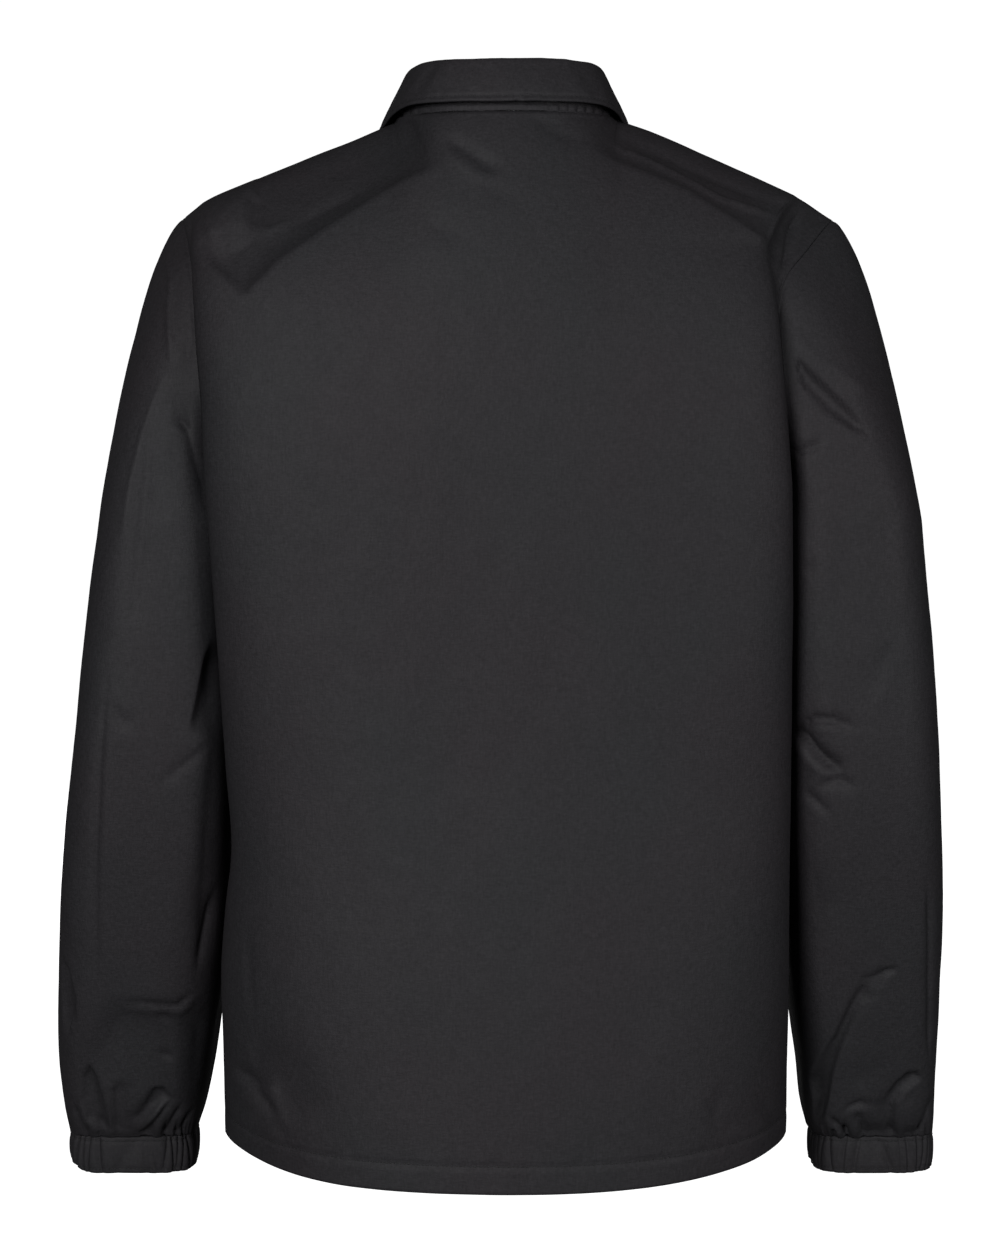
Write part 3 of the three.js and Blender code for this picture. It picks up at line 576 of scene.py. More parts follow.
def resample(path, count):
    """Points evenly spaced along a path."""
    along = np.concatenate([[0], np.cumsum(length_of(np.diff(path, axis=0))[:, 0])])
    at = np.linspace(0, along[-1], count + 1)
    return np.stack([np.interp(at, along, path[:, k]) for k in range(3)], axis=1)


def catmull(knots, t):
    """A closed centripetal curve through the knots, at t from 0 to 1."""
    count = len(knots)
    at = (t % 1) * count
    i = np.floor(at).astype(int)
    weight = (at - i)[:, None]
    p = [knots[(i + k) % count] for k in (-1, 0, 1, 2)]
    d = [length_of(p[k + 1] - p[k]) ** 0.5 for k in range(3)]
    first = ((p[1] - p[0]) / d[0] - (p[2] - p[0]) / (d[0] + d[1]) + (p[2] - p[1]) / d[1]) * d[1]
    second = ((p[2] - p[1]) / d[1] - (p[3] - p[1]) / (d[1] + d[2]) + (p[3] - p[2]) / d[2]) * d[1]
    return hermite(p[1], first, p[2], second, weight)


def armhole(side):
    knots = np.stack([ARMHOLE[side][axis] for axis in "xyz"], axis=1)
    tip = TIP_POINT / len(knots)
    samples = np.linspace(0, 1, 400)
    return {
        "back": resample(catmull(knots, mix(0, tip, samples)), ARMHOLE_ROWS),
        "front": resample(catmull(knots, mix(1, tip, samples)), ARMHOLE_ROWS),
    }


ARMHOLES = {side: armhole(side) for side in ("left", "right")}


def climb_of(line):
    return (line[:, 2] - UNDERARM_Z) / (line[-1, 2] - UNDERARM_Z)


def lip(fold, seam, row_share):
    """From the fold beside the sleeve in to the seam, curling near the underarm."""
    depth = np.abs(fold[:, 1] - seam[:, 1])
    towards = np.sign(fold[:, 1])
    zero = np.zeros_like(depth)
    curled = [
        fold + points(0.03 * depth, -0.22 * depth * towards, zero),
        seam + points(0.03 * depth, 0.42 * depth * towards, zero),
    ]
    flat = smooth(row_share / 0.3)[:, None]
    a, b = (mix(p, mix(fold, seam, k / 3), flat) for k, p in zip((1, 2), curled))
    t = (np.arange(1, LIP_STEPS + 1) / LIP_STEPS)[None, :, None]
    s = 1 - t
    fold, a, b, seam = (p[:, None, :] for p in (fold, a, b, seam))
    return fold * s ** 3 + 3 * a * t * s * s + 3 * b * t * t * s + seam * t ** 3


def half_body(side, face):
    """One half of the back or of a front, from the centre out, with x counted outwards."""
    step = np.arange(NECK_STEPS + 1) / NECK_STEPS
    even = NECK_HALF_WIDTH * step
    curved = NECK_HALF_WIDTH * np.sin(step * math.pi / 2) ** 0.9
    beyond = mix(NECK_HALF_WIDTH, fold_top(side), np.arange(1, SHOULDER_STEPS + 1) / SHOULDER_STEPS)

    hem_level = np.linspace(HEM_Z, HEM_Z + 60, HEM_ROWS, endpoint=False)
    level = np.concatenate([hem_level, np.linspace(HEM_Z + 60, UNDERARM_Z, SIDE_ROWS, endpoint=False)])
    tops = np.concatenate([even, beyond])
    rise = HEM_RISE * np.maximum(1 - (level - HEM_Z) / 125, 0)
    x = tops[None, :] * spread(side, face, level)[:, None]
    z = level[:, None] + rise[:, None] * (tops[None, :] / fold_top(side)) ** 4
    low = points(x, section_y(side, face, level[:, None], x), z)
    seam = points(read(BODY[side], "seam", level), np.zeros_like(level), level + rise)
    low = np.concatenate([low, lip(low[:, -1], seam, np.zeros_like(level))], axis=1)

    seams = ARMHOLES[side][face]
    own = climb_of(seams)
    steps = np.arange(ARMHOLE_ROWS + 1) / ARMHOLE_ROWS
    climb = 0.97 * np.maximum.accumulate(np.clip(own, 0, 1)) + 0.03 * steps
    fan = smooth((steps - 0.55) / 0.45)[:, None]
    tops = np.concatenate(
        [mix(even[None, :], curved[None, :], fan), np.repeat(beyond[None, :], len(own), axis=0)], axis=1)
    top_y, top_z, _ = column_top(side, face, tops)
    share = mix(steps[:, None], climb[:, None], smooth(tops / fold_top(side)))
    z = mix(UNDERARM_Z, top_z, share)
    y = upper_y(side, face, tops, z)
    y[-1] = top_y[-1]
    high = points(tops * spread(side, face, z), y, z)
    high = np.concatenate([high, lip(high[:, -1], seams, own)], axis=1)
    return np.concatenate([low, high])


def mirrored(net):
    return net[:, ::-1] * (-1, 1, 1)


def back_net():
    left = half_body("left", "back")[:, ::-1]
    right = half_body("right", "back") * (-1, 1, 1)
    return np.concatenate([left[:, :-1], right], axis=1)


LAP_STEPS = 6


def front_net(side):
    half = half_body(side, "front")
    lap = [half[:, :1] + (-PLACKET_LAP * k / LAP_STEPS, 0, 0) for k in range(LAP_STEPS, 0, -1)]
    net = np.concatenate(lap + [half], axis=1)
    if side == "right":
        share = smooth((net[..., :1] + PLACKET_LAP + LAP_EASE) / LAP_EASE)
        net = net - net_normals(net, False) * LAP_DEPTH * share
        net = mirrored(net)
    return net


def net_normals(net, ring):
    if ring:
        along = np.roll(net, -1, axis=1) - np.roll(net, 1, axis=1)
    else:
        along = np.gradient(net, axis=1)
    return unit(np.cross(along, np.gradient(net, axis=0)))


# Sleeves and cuffs

def sleeve_ring(side, z, count):
    z = np.atleast_1d(np.asarray(z, float))[:, None]
    sheet = SLEEVE[side]
    outer, inner = read(sheet, "outer", z), read(sheet, "inner", z)
    angle = (np.arange(count) / count * 2 * math.pi)[None, :]
    power = 2 / np.where(np.cos(angle) > 0, *SLEEVE_ROUNDNESS)

    def rounded(value):
        return np.sign(value) * np.abs(value) ** power

    x = (outer + inner) / 2 - (outer - inner) / 2 * rounded(np.cos(angle))
    y = read(sheet, "middleY", z) + read(sheet, "halfDepth", z) * rounded(np.sin(angle))
    return points(x, y, z)


def sleeve_net(side):
    back, front = ARMHOLES[side]["back"], ARMHOLES[side]["front"]
    loop = np.concatenate([back, front[-2:0:-1]])
    bicep = sleeve_ring(side, BICEP_Z, len(loop))[0]
    height = (loop[:, 2] - UNDERARM_Z) / (back[-1, 2] - UNDERARM_Z)
    reach = length_of(bicep - loop)[:, 0]
    out = mix(CAP_OUT[0], CAP_OUT[1], height)
    start_z = -reach * mix(CAP_DOWN[0], CAP_DOWN[1], height)
    t = ((np.arange(CAP_ROWS) / CAP_ROWS) ** 1.2)[:, None]
    step = bicep - loop
    cap = points(
        hermite(loop[:, 0], out, bicep[:, 0], step[:, 0] * CAP_FLARE * height, t),
        hermite(loop[:, 1], 0, bicep[:, 1], step[:, 1], t),
        hermite(loop[:, 2], start_z, bicep[:, 2], -reach, t),
    )
    low = np.linspace(0, 1, SLEEVE_ROWS + 1)
    tube = sleeve_ring(side, mix(BICEP_Z, SLEEVE_END_Z, 1 - (1 - low) ** 1.25), len(loop))
    net = np.concatenate([cap, tube])
    return net if side == "left" else mirrored(net)


# Relief: every kind of fold is a push into the cloth, in millimetres, along its normals

def beside_line(spot, line):
    """How far each spot is from a line, which share of the line it is beside, and on which side."""
    lengths = np.linalg.norm(np.diff(line, axis=0), axis=1)
    rank = np.full(len(spot), 1e9)
    along = np.zeros(len(spot))
    beside = np.zeros(len(spot))
    start = 0
    for a, b, size in zip(line[:-1], line[1:], lengths):
        way = (b - a) / size
        ahead = np.clip((spot - a) @ way, 0, size)
        away = np.linalg.norm(spot - a - ahead[:, None] * way, axis=1)
        across = way[0] * (spot - a)[:, 1] - way[1] * (spot - a)[:, 0]
        own = away - 1e-3 * np.abs(across)
        closer = own < rank
        rank = np.where(closer, own, rank)
        along = np.where(closer, (start + ahead) / lengths.sum(), along)
        beside = np.where(closer, np.sign(across) * away, beside)
        start += size
    return np.abs(beside), along, beside


def line_push(net, normals, rows, reach, profile):
    """The sum of what each row of a table pushes in, near its line and on its side of the cloth."""
    push = np.zeros(net.shape[:2])
    flat = net[..., (0, 2)]
    for row in rows:
        line = np.array(row["points"], float)
        far = row["width"] * reach
        near = np.all((flat > line.min(axis=0) - far) & (flat < line.max(axis=0) + far), axis=-1)
        if near.any():
            away, along, beside = beside_line(flat[near], line)
            ends = smooth(along / row["fade"]) * smooth((1 - along) / row["fade"])
            push[near] += profile(row, away, ends, beside) * smooth(normals[near][:, 1] * row["side"] * 1.6)
    return push


def trough(row, away, ends, beside):
    """A narrow crease has a sharp bottom, a broad one is round."""
    ends = mix(0.05, 1, ends)
    width = row["width"] * mix(0.6, 1, ends)
    blunt = width * mix(0.25, 1.2, smooth((row["width"] - 8) / 12))
    hollow = row["depth"] * np.exp((blunt - np.hypot(away, blunt)) / (0.7 * width))
    hand = np.sign(row["ridge"]) if row["ridge"] else 1
    bank = abs(row["ridge"]) * np.exp(-((hand * beside - 1.9 * width) / (width * 1.1)) ** 2)
    return ends * (hollow - bank)


def facet(row, away, ends, beside):
    """Nothing on one side of the line, and a slope that begins at once on the other."""
    s = np.maximum(row["hand"] * beside / row["width"], 0)
    return row["depth"] * ends * s * np.exp(1 - s) * smooth((4.5 - s) / 2.5)


def crease_push(net, normals, rows, slopes=()):
    """The push of the listed creases and facets at every point of a net."""
    return line_push(net, normals, rows, 4.5, trough) + line_push(net, normals, slopes, 4.5, facet)


def waves(net, seed, count, shortest, longest, upright):
    """Low seeded undulation from plane waves; upright from 0 to 1 turns its folds vertical."""
    source = np.random.default_rng(seed)
    push = np.zeros(net.shape[:2])
    for _ in range(count):
        turn = source.uniform(0, 2 * math.pi)
        tilt = source.uniform(-1, 1) * (1 - upright)
        way = unit(np.array([math.cos(turn), math.sin(turn), tilt]))
        pitch = source.uniform(shortest, longest)
        phase = source.uniform(0, 2 * math.pi)
        push += np.sin(net @ way * (2 * math.pi / pitch) + phase)
    return push / math.sqrt(count)


def crumple(net, seed, count, shortest, longest):
    """Small sharp-edged dents, as in thin crisp cloth."""
    source = np.random.default_rng(seed)
    push = np.zeros(net.shape[:2])
    for _ in range(count):
        way = unit(source.normal(size=3))
        pitch = source.uniform(shortest, longest)
        phase = source.uniform(0, 2 * math.pi)
        bend = np.sin(net @ unit(source.normal(size=3)) * (2 * math.pi / (pitch * 2.7)) + phase)
        push += np.abs(np.sin(net @ way * (math.pi / pitch) + phase + bend)) - 0.64
    return push / math.sqrt(count)


def groove(distance, width, depth):
    return depth * np.exp(-(distance / width) ** 2)


def edge_distance(net, edges):
    """How far each point is from the named edges of its net, along the cloth."""
    across = np.concatenate([[0], np.cumsum(length_of(np.diff(net, axis=1)).mean(axis=0)[:, 0])])
    steps = length_of(np.diff(net, axis=0))[..., 0]
    up = np.concatenate([np.zeros((1, net.shape[1])), np.cumsum(steps, axis=0)])
    steps = length_of(np.diff(net, axis=1))[..., 0]
    side = np.concatenate([np.zeros((net.shape[0], 1)), np.cumsum(steps, axis=1)], axis=1)
    distance = np.full(net.shape[:2], across[-1] * 9)
    if "first" in edges:
        distance = np.minimum(distance, up)
    if "last" in edges:
        distance = np.minimum(distance, up[-1:] - up)
    if "start" in edges:
        distance = np.minimum(distance, side)
    if "end" in edges:
        distance = np.minimum(distance, side[:, -1:] - side)
    return distance


def pull_back(net, edges, gap):
    out = net.copy()
    for name, here, inside in (("first", 0, 1), ("last", -1, -2)):
        if name in edges:
            out[here] += unit(net[inside] - net[here]) * gap
    for name, here, inside in (("start", 0, 1), ("end", -1, -2)):
        if name in edges:
            out[:, here] += unit(net[:, inside] - net[:, here]) * gap
    return out


def turn_in(net, edges, depth, ring):
    """Folds the seam allowance inwards, so that no light passes between two pieces."""
    if not ring:
        normals = net_normals(net, ring)
        if "start" in edges:
            net = np.concatenate([net[:, :1] - normals[:, :1] * depth, net], axis=1)
            normals = np.concatenate([normals[:, :1], normals], axis=1)
        if "end" in edges:
            net = np.concatenate([net, net[:, -1:] - normals[:, -1:] * depth], axis=1)
    normals = net_normals(net, ring)
    if "first" in edges:
        net = np.concatenate([net[:1] - normals[:1] * depth, net])
        normals = np.concatenate([normals[:1], normals])
    if "last" in edges:
        net = np.concatenate([net, net[-1:] - normals[-1:] * depth])
    return net


# Meshes

def link_mesh(name, vertices, faces, material, smooth_faces=True):
    mesh = bpy.data.meshes.new(name)
    mesh.from_pydata((np.asarray(vertices) * MM).tolist(), [], faces)
    if smooth_faces:
        mesh.polygons.foreach_set("use_smooth", [True] * len(mesh.polygons))
    mesh.materials.append(material)
    mesh.update()
    piece = bpy.data.objects.new(name, mesh)
    bpy.context.scene.collection.objects.link(piece)
    return piece


def grid_faces(rows, columns, offset, ring, flip):
    row = np.arange(rows - 1)[:, None]
    column = np.arange(columns if ring else columns - 1)[None, :]
    after = (column + 1) % columns
    corners = [row * columns + column, row * columns + after, (row + 1) * columns + after,
               (row + 1) * columns + column]
    faces = np.stack([corner.ravel() for corner in corners], axis=1) + offset
    return faces[:, ::-1] if flip else faces


def border_loops(rows, columns, ring):
    """The border of a grid, one loop for each closed edge, with outward steps for each point."""
    index = np.arange(rows * columns).reshape(rows, columns)
    if ring:
        return [(index[0], index[1], True), (index[-1], index[-2], False)]
    loop = np.concatenate([index[0, :-1], index[:-1, -1], index[-1, :0:-1], index[:0:-1, 0]])
    inner = np.concatenate([
        [index[1, 1]], index[1, 1:-1], [index[1, -2]], index[1:-1, -2],
        [index[-2, -2]], index[-2, -2:0:-1], [index[-2, 1]], index[-2:0:-1, 1],
    ])
    return [(loop, inner, True)]


def shell(name, outer, ring, material, wall=SHELL, inner=None):
    """A closed thin wall: the outer net, an inner one behind it, and rounded rims."""
    rows, columns = outer.shape[:2]
    if inner is None:
        inner = outer - net_normals(outer, ring) * wall
    count = rows * columns
    vertices = [outer.reshape(-1, 3), inner.reshape(-1, 3)]
    faces = [grid_faces(rows, columns, 0, ring, False), grid_faces(rows, columns, count, ring, True)]
    both = np.concatenate(vertices)
    start = 2 * count
    for loop, inside, forward in border_loops(rows, columns, ring):
        middle = (both[loop] + both[loop + count]) / 2
        outward = unit(both[loop] - both[inside])
        vertices.append(middle + outward * wall * 0.45)
        size = len(loop)
        here = np.arange(size)
        after = (here + 1) % size
        rim = start + here
        rim_after = start + after
        if forward:
            faces.append(np.stack([loop[here], rim, rim_after, loop[after]], axis=1))
            faces.append(np.stack([rim, loop[here] + count, loop[after] + count, rim_after], axis=1))
        else:
            faces.append(np.stack([loop[after], rim_after, rim, loop[here]], axis=1))
            faces.append(np.stack([rim_after, loop[after] + count, loop[here] + count, rim], axis=1))
        start += size
    return link_mesh(name, np.concatenate(vertices), np.concatenate(faces).tolist(), material)


# Materials

class Nodes:
    """Adds shader nodes and joins them."""

    def __init__(self, material):
        material.use_nodes = True
        self.tree = material.node_tree
        self.shader = self.tree.nodes["Principled BSDF"]

    def add(self, kind, **values):
        node = self.tree.nodes.new(kind)
        for name, value in values.items():
            if name in node.inputs:
                node.inputs[name].default_value = value
            else:
                setattr(node, name, value)
        return node

    def join(self, source, output, target, socket):
        self.tree.links.new(source.outputs[output], target.inputs[socket])

    def stretched(self, scale):
        place = self.add("ShaderNodeTexCoord")
        mapping = self.add("ShaderNodeMapping")
        mapping.inputs["Scale"].default_value = scale
        self.join(place, "Object", mapping, "Vector")
        return mapping

    def noise(self, scale, detail, roughness=0.5):
        node = self.add("ShaderNodeTexNoise", Detail=detail, Roughness=roughness)
        node.inputs["Scale"].default_value = 1
        self.join(self.stretched(scale), "Vector", node, "Vector")
        return node

    def ramp(self, low, high, at_low=0.3, at_high=0.7):
        node = self.add("ShaderNodeValToRGB")
        first, last = node.color_ramp.elements
        first.position, first.color = at_low, (*low, 1)
        last.position, last.color = at_high, (*high, 1)
        return node

    def blend(self, kind, amount):
        node = self.add("ShaderNodeMix", data_type="RGBA", blend_type=kind)
        node.inputs[0].default_value = amount
        return node


def make_cloth(name, tone, rough):
    """Matt black nylon: slubs both ways, a slow drift of hue, and a fine weave in the bump."""
    material = bpy.data.materials.new(name)
    nodes = Nodes(material)
    shader = nodes.shader
    drift = nodes.noise((9, 9, 7), 2)
    warm = tuple(tone * value for value in (1.04, 0.94, 1.06))
    cold = tuple(tone * value for value in (0.98, 0.96, 1.06))
    hue = nodes.ramp(cold, warm, 0.36, 0.62)
    nodes.join(drift, "Fac", hue, "Fac")
    weft = nodes.noise((260, 260, 900), 2, 0.6)
    warp = nodes.noise((800, 800, 230), 2, 0.6)
    shades = []
    for texture in (weft, warp):
        shade = nodes.ramp((0.8, 0.8, 0.8), (1.2, 1.2, 1.2), 0.3, 0.7)
        nodes.join(texture, "Fac", shade, "Fac")
        shades.append(shade)
    previous = (hue, "Color")
    for shade in shades:
        product = nodes.blend("MULTIPLY", 0.75)
        nodes.join(previous[0], previous[1], product, 6)
        nodes.join(shade, "Color", product, 7)
        previous = (product, 2)
    nodes.join(previous[0], previous[1], shader, "Base Color")
    gloss = nodes.noise((60, 60, 60), 3)
    spread_of = nodes.add("ShaderNodeMapRange")
    spread_of.inputs["To Min"].default_value = rough - 0.05
    spread_of.inputs["To Max"].default_value = rough + 0.07
    nodes.join(gloss, "Fac", spread_of, "Value")
    nodes.join(spread_of, "Result", shader, "Roughness")
    relief = nodes.add("ShaderNodeMath", operation="ADD")
    nodes.join(weft, "Fac", relief, 0)
    nodes.join(warp, "Fac", relief, 1)
    bump = nodes.add("ShaderNodeBump", Strength=0.35, Distance=0.0004)
    nodes.join(relief, "Value", bump, "Height")
    wrinkle = nodes.noise((85, 85, 60), 3, 0.6)
    soft = nodes.add("ShaderNodeBump", Strength=0.3, Distance=0.0012)
    nodes.join(wrinkle, "Fac", soft, "Height")
    nodes.join(soft, "Normal", bump, "Normal")
    nodes.join(bump, "Normal", shader, "Normal")
    shader.inputs["Specular IOR Level"].default_value = 0.2
    return material


def make_thread():
    material = bpy.data.materials.new("thread")
    nodes = Nodes(material)
    twist = nodes.noise((2200, 2200, 2200), 1)
    shade = nodes.ramp((0.006, 0.006, 0.007), (0.016, 0.016, 0.017))
    nodes.join(twist, "Fac", shade, "Fac")
    nodes.join(shade, "Color", nodes.shader, "Base Color")
    nodes.shader.inputs["Roughness"].default_value = 0.6
    return material


def make_enamel():
    """The snap caps: black enamel, a little worn and uneven."""
    material = bpy.data.materials.new("snap_enamel")
    nodes = Nodes(material)
    specks = nodes.noise((700, 700, 700), 4)
    shade = nodes.ramp((0.009, 0.009, 0.010), (0.022, 0.022, 0.024))
    nodes.join(specks, "Fac", shade, "Fac")
    nodes.join(shade, "Color", nodes.shader, "Base Color")
    wear = nodes.add("ShaderNodeMapRange")
    wear.inputs["To Min"].default_value = 0.24
    wear.inputs["To Max"].default_value = 0.42
    nodes.join(specks, "Fac", wear, "Value")
    nodes.join(wear, "Result", nodes.shader, "Roughness")
    bump = nodes.add("ShaderNodeBump", Strength=0.2, Distance=0.0003)
    nodes.join(specks, "Fac", bump, "Height")
    nodes.join(bump, "Normal", nodes.shader, "Normal")
    return material


NYLON = make_cloth("black_nylon", 0.026, 0.62)
CUFF_NYLON = make_cloth("black_nylon_cuff", 0.023, 0.64)
THREAD = make_thread()
ENAMEL = make_enamel()


# Body panels

PUCKER_REACH = 11


def above_hem(x, z):
    """Height over the hem's edge, which climbs towards the sides."""
    return z - HEM_Z - HEM_RISE * (1 - HEM_DEPTH / 125) * (np.abs(x) / 200) ** 4


def body_push(net, rows, slopes, seed, seams, puckers):
    normals = net_normals(net, False)
    x, z = net[..., 0], net[..., 2]
    push = crease_push(net, normals, rows, slopes)
    push += waves(net, seed, 9, 90, 190, 0.85) * 0.6
    push += waves(net, seed + 1, 14, 26, 60, 0.5) * 0.12
    push += crumple(net, seed + 2, 10, 9, 26) * 0.06
    hem = above_hem(x, z)
    push += groove(hem - HEM_DEPTH, 1.2, 0.8)
    push -= 0.25 * smooth((HEM_DEPTH - hem) / 5)
    push += np.sin(x / 5.3 + 2 * np.sin(x / 23)) * 0.2 * np.exp(-((hem - HEM_DEPTH) / 7) ** 2)
    away = edge_distance(net, seams)
    push = push * smooth(away / 7) + groove(away, 1.8, 1.0) * smooth(away / 0.8 + 0.2)
    if puckers is not None:
        below = edge_distance(net, ["last"])
        on_neck = smooth((NECK_HALF_WIDTH + 7 - np.abs(x)) / 4) * smooth(below / 2.5)
        for place, depth, lean in zip(puckers["x"], puckers["depth"], puckers["lean"]):
            off = np.abs(x - place - lean * below / PUCKER_REACH)
            push += depth * np.exp(-off / 1.5) * np.exp(-(below / PUCKER_REACH) ** 2) * on_neck
    return push, normals


def body_panel(name, net, rows, slopes, seed, seams, puckers=None):
    push, normals = body_push(net, rows, slopes, seed, seams, puckers)
    outer = pull_back(net - normals * push[..., None], seams, SEAM_GAP)
    surface = outer
    outer = turn_in(outer, seams, 2.6, False)
    piece = shell(name, outer, False, NYLON)
    return piece, surface


back, back_surface = body_panel(
    "back_cloth", back_net(), BACK_CREASES, BACK_FACETS, 11, ["start", "end", "last"], NECK_PUCKERS)
front_left, front_left_surface = body_panel(
    "front_left_cloth", front_net("left"), FRONT_CREASES, (), 12, ["end", "last"])
front_right, front_right_surface = body_panel(
    "front_right_cloth", front_net("right"), FRONT_CREASES, (), 12, ["start", "last"])


# Sleeves, with their gathers above the cuff

GATHER_REACH = 24


def sleeve_cloth(side, seed):
    net = sleeve_net(side)
    normals = net_normals(net, True)
    push = crease_push(net, normals, SLEEVE_CREASES[side], SLEEVE_FACETS[side])
    push += waves(net, seed, 9, 70, 150, 0.6) * 0.8
    push += waves(net, seed + 1, 14, 22, 52, 0.4) * 0.16
    push += crumple(net, seed + 2, 10, 8, 24) * 0.08
    near = smooth(1 - (net[..., 2] - SLEEVE_END_Z) / GATHER_REACH)
    source = np.random.default_rng(seed + 3)
    count = net.shape[1]
    turn = np.arange(count) / count * 2 * math.pi
    fold = np.zeros(count)
    for ribs in (17, 22, 29):
        fold += (1 - np.abs(np.sin(turn * ribs / 2 + source.uniform(0, 6.28)))) ** 2
    drift = np.sin(turn * 3 + source.uniform(0, 6.28)) * 0.5 + 1
    push += fold[None, :] * drift[None, :] * near * near * 2.2
    top = edge_distance(net, ["first"])
    end = edge_distance(net, ["last"])
    held = smooth(top / 7) * mix(0.45, 1, smooth(end / 6))
    push = push * held + groove(top, 2.2, 0.7) * smooth(top / 0.8 + 0.2)
    outer = pull_back(net - normals * push[..., None], ["first"], SEAM_GAP)
    surface = outer
    outer = turn_in(outer, ["first", "last"], 2.6, True)
    return shell(f"sleeve_{side}_cloth", outer, True, NYLON), surface


sleeves = {side: sleeve_cloth(side, seed) for side, seed in (("left", 31), ("right", 47))}


# Cuffs: an elastic casing, with ribs as uneven as its gathers

CUFF_ROWS = 22


def cuff_cloth(side, seed):
    source = np.random.default_rng(seed)
    ribs = 31
    widths = source.uniform(0.55, 1.5, ribs)
    ends = np.concatenate([[0], np.cumsum(widths)]) / widths.sum()
    depth = source.uniform(1.8, 3.2, ribs)
    slant = source.uniform(-0.8, 0.8, ribs) / ribs
    down = np.linspace(0, 1, CUFF_ROWS)
    share = np.arange(CUFF_STEPS) / CUFF_STEPS
    z = SLEEVE_END_Z + 0.2 - CUFF_HEIGHT * down
    ring = sleeve_ring(side, SLEEVE_END_Z, CUFF_STEPS)[0]
    middle = (ring.min(axis=0) + ring.max(axis=0)) / 2
    way = unit((ring - middle) * (1, 1, 0))
    base = np.repeat(ring[None], CUFF_ROWS, axis=0)
    base[..., 2] = z[:, None]
    height = np.zeros((CUFF_ROWS, CUFF_STEPS))
    for k in range(ribs):
        lean = (down - 0.5)[:, None] * slant[k]
        for turn in (-1, 0, 1):
            off = (share[None, :] - ends[k] - lean + turn) * ribs / 0.2
            height -= depth[k] * np.exp(0.4 - np.hypot(off, 0.4))
    cushion = np.sin(np.clip(down, 0.02, 0.98) * math.pi) ** 0.45
    soft = 0.8 + 0.2 * np.sin(share * 2 * math.pi * 4 + seed)
    bulge = -0.7 + 1.5 * cushion
    seam_line = 0.4 * np.exp(-((down - 0.12) / 0.05) ** 2) + 0.3 * np.exp(-((down - 0.9) / 0.05) ** 2)
    raised = bulge[:, None] + height * mix(0.75, 1, cushion)[:, None] * soft[None, :] - seam_line[:, None]
    if side == "left":
        base[..., 2] += 6 * smooth((base[..., 0] - 300) / 14) * down[:, None]
    outer = base + way[None] * raised[..., None]
    outer[..., 2] += 0.5 * np.sin(share * 2 * math.pi * 9)[None, :] * (down[:, None] - 0.3)
    inner = base + way[None] * (bulge[:, None] - 2.6 + 0.35 * height)[..., None]
    if side == "right":
        outer, inner = mirrored(outer), mirrored(inner)
    return shell(f"cuff_{side}_cloth", outer, True, CUFF_NYLON, wall=2.4, inner=inner), outer


cuffs = {side: cuff_cloth(side, seed) for side, seed in (("left", 5), ("right", 8))}


# Collar

COLLAR_STEPS = 90
STAND_ROWS = 40
LEAF_STITCH = 3.4


def neck_line():
    """The neck seam from the left centre front round the back to the right centre front."""
    step = np.arange(COLLAR_STEPS + 1) / COLLAR_STEPS
    x = NECK_HALF_WIDTH * np.sin(step * math.pi / 2) ** 0.9
    parts = []
    for side, face, sign, flip in (("left", "front", 1, False), ("left", "back", 1, True),
                                   ("right", "back", -1, False), ("right", "front", -1, True)):
        y, z, _ = column_top(side, face, x)
        line = points(x * sign, y, z)
        line = line[::-1] if flip else line
        parts.append(line if not parts else line[1:])
    return np.concatenate(parts)


def collar_frame():
    line = neck_line()
    count = len(line) - 1
    out = np.gradient(line, axis=0) * (1, 1, 0)
    out = unit(out[:, (1, 0, 2)] * (1, -1, 0))
    out[0] = out[-1] = (0, -1, 0)
    along = np.abs(np.arange(count + 1) / count * 4 - 2)
    sign = np.where(np.arange(count + 1) < count / 2, 1, -1)
    return line, out, along, sign


def stand_net():
    line, out, along, _ = collar_frame()
    rise, lean = read(STAND, "rise", along), read(STAND, "lean", along)
    share = np.linspace(0, 1, STAND_ROWS)[:, None]
    net = line[None] + out[None] * (lean * share)[..., None]
    net[..., 2] += rise * share
    return net


def rest_y(sign, along, x, z):
    y = np.zeros_like(x)
    clear = mix(LEAF_CLEAR[0], LEAF_CLEAR[1], smooth(along - 1))
    for side, hand in (("left", 1), ("right", -1)):
        here = sign == hand
        top_x = x / spread(side, "front", z)
        y = np.where(here, upper_y(side, "front", top_x, z) - clear, y)
    return y


LEAF_ROWS = 40


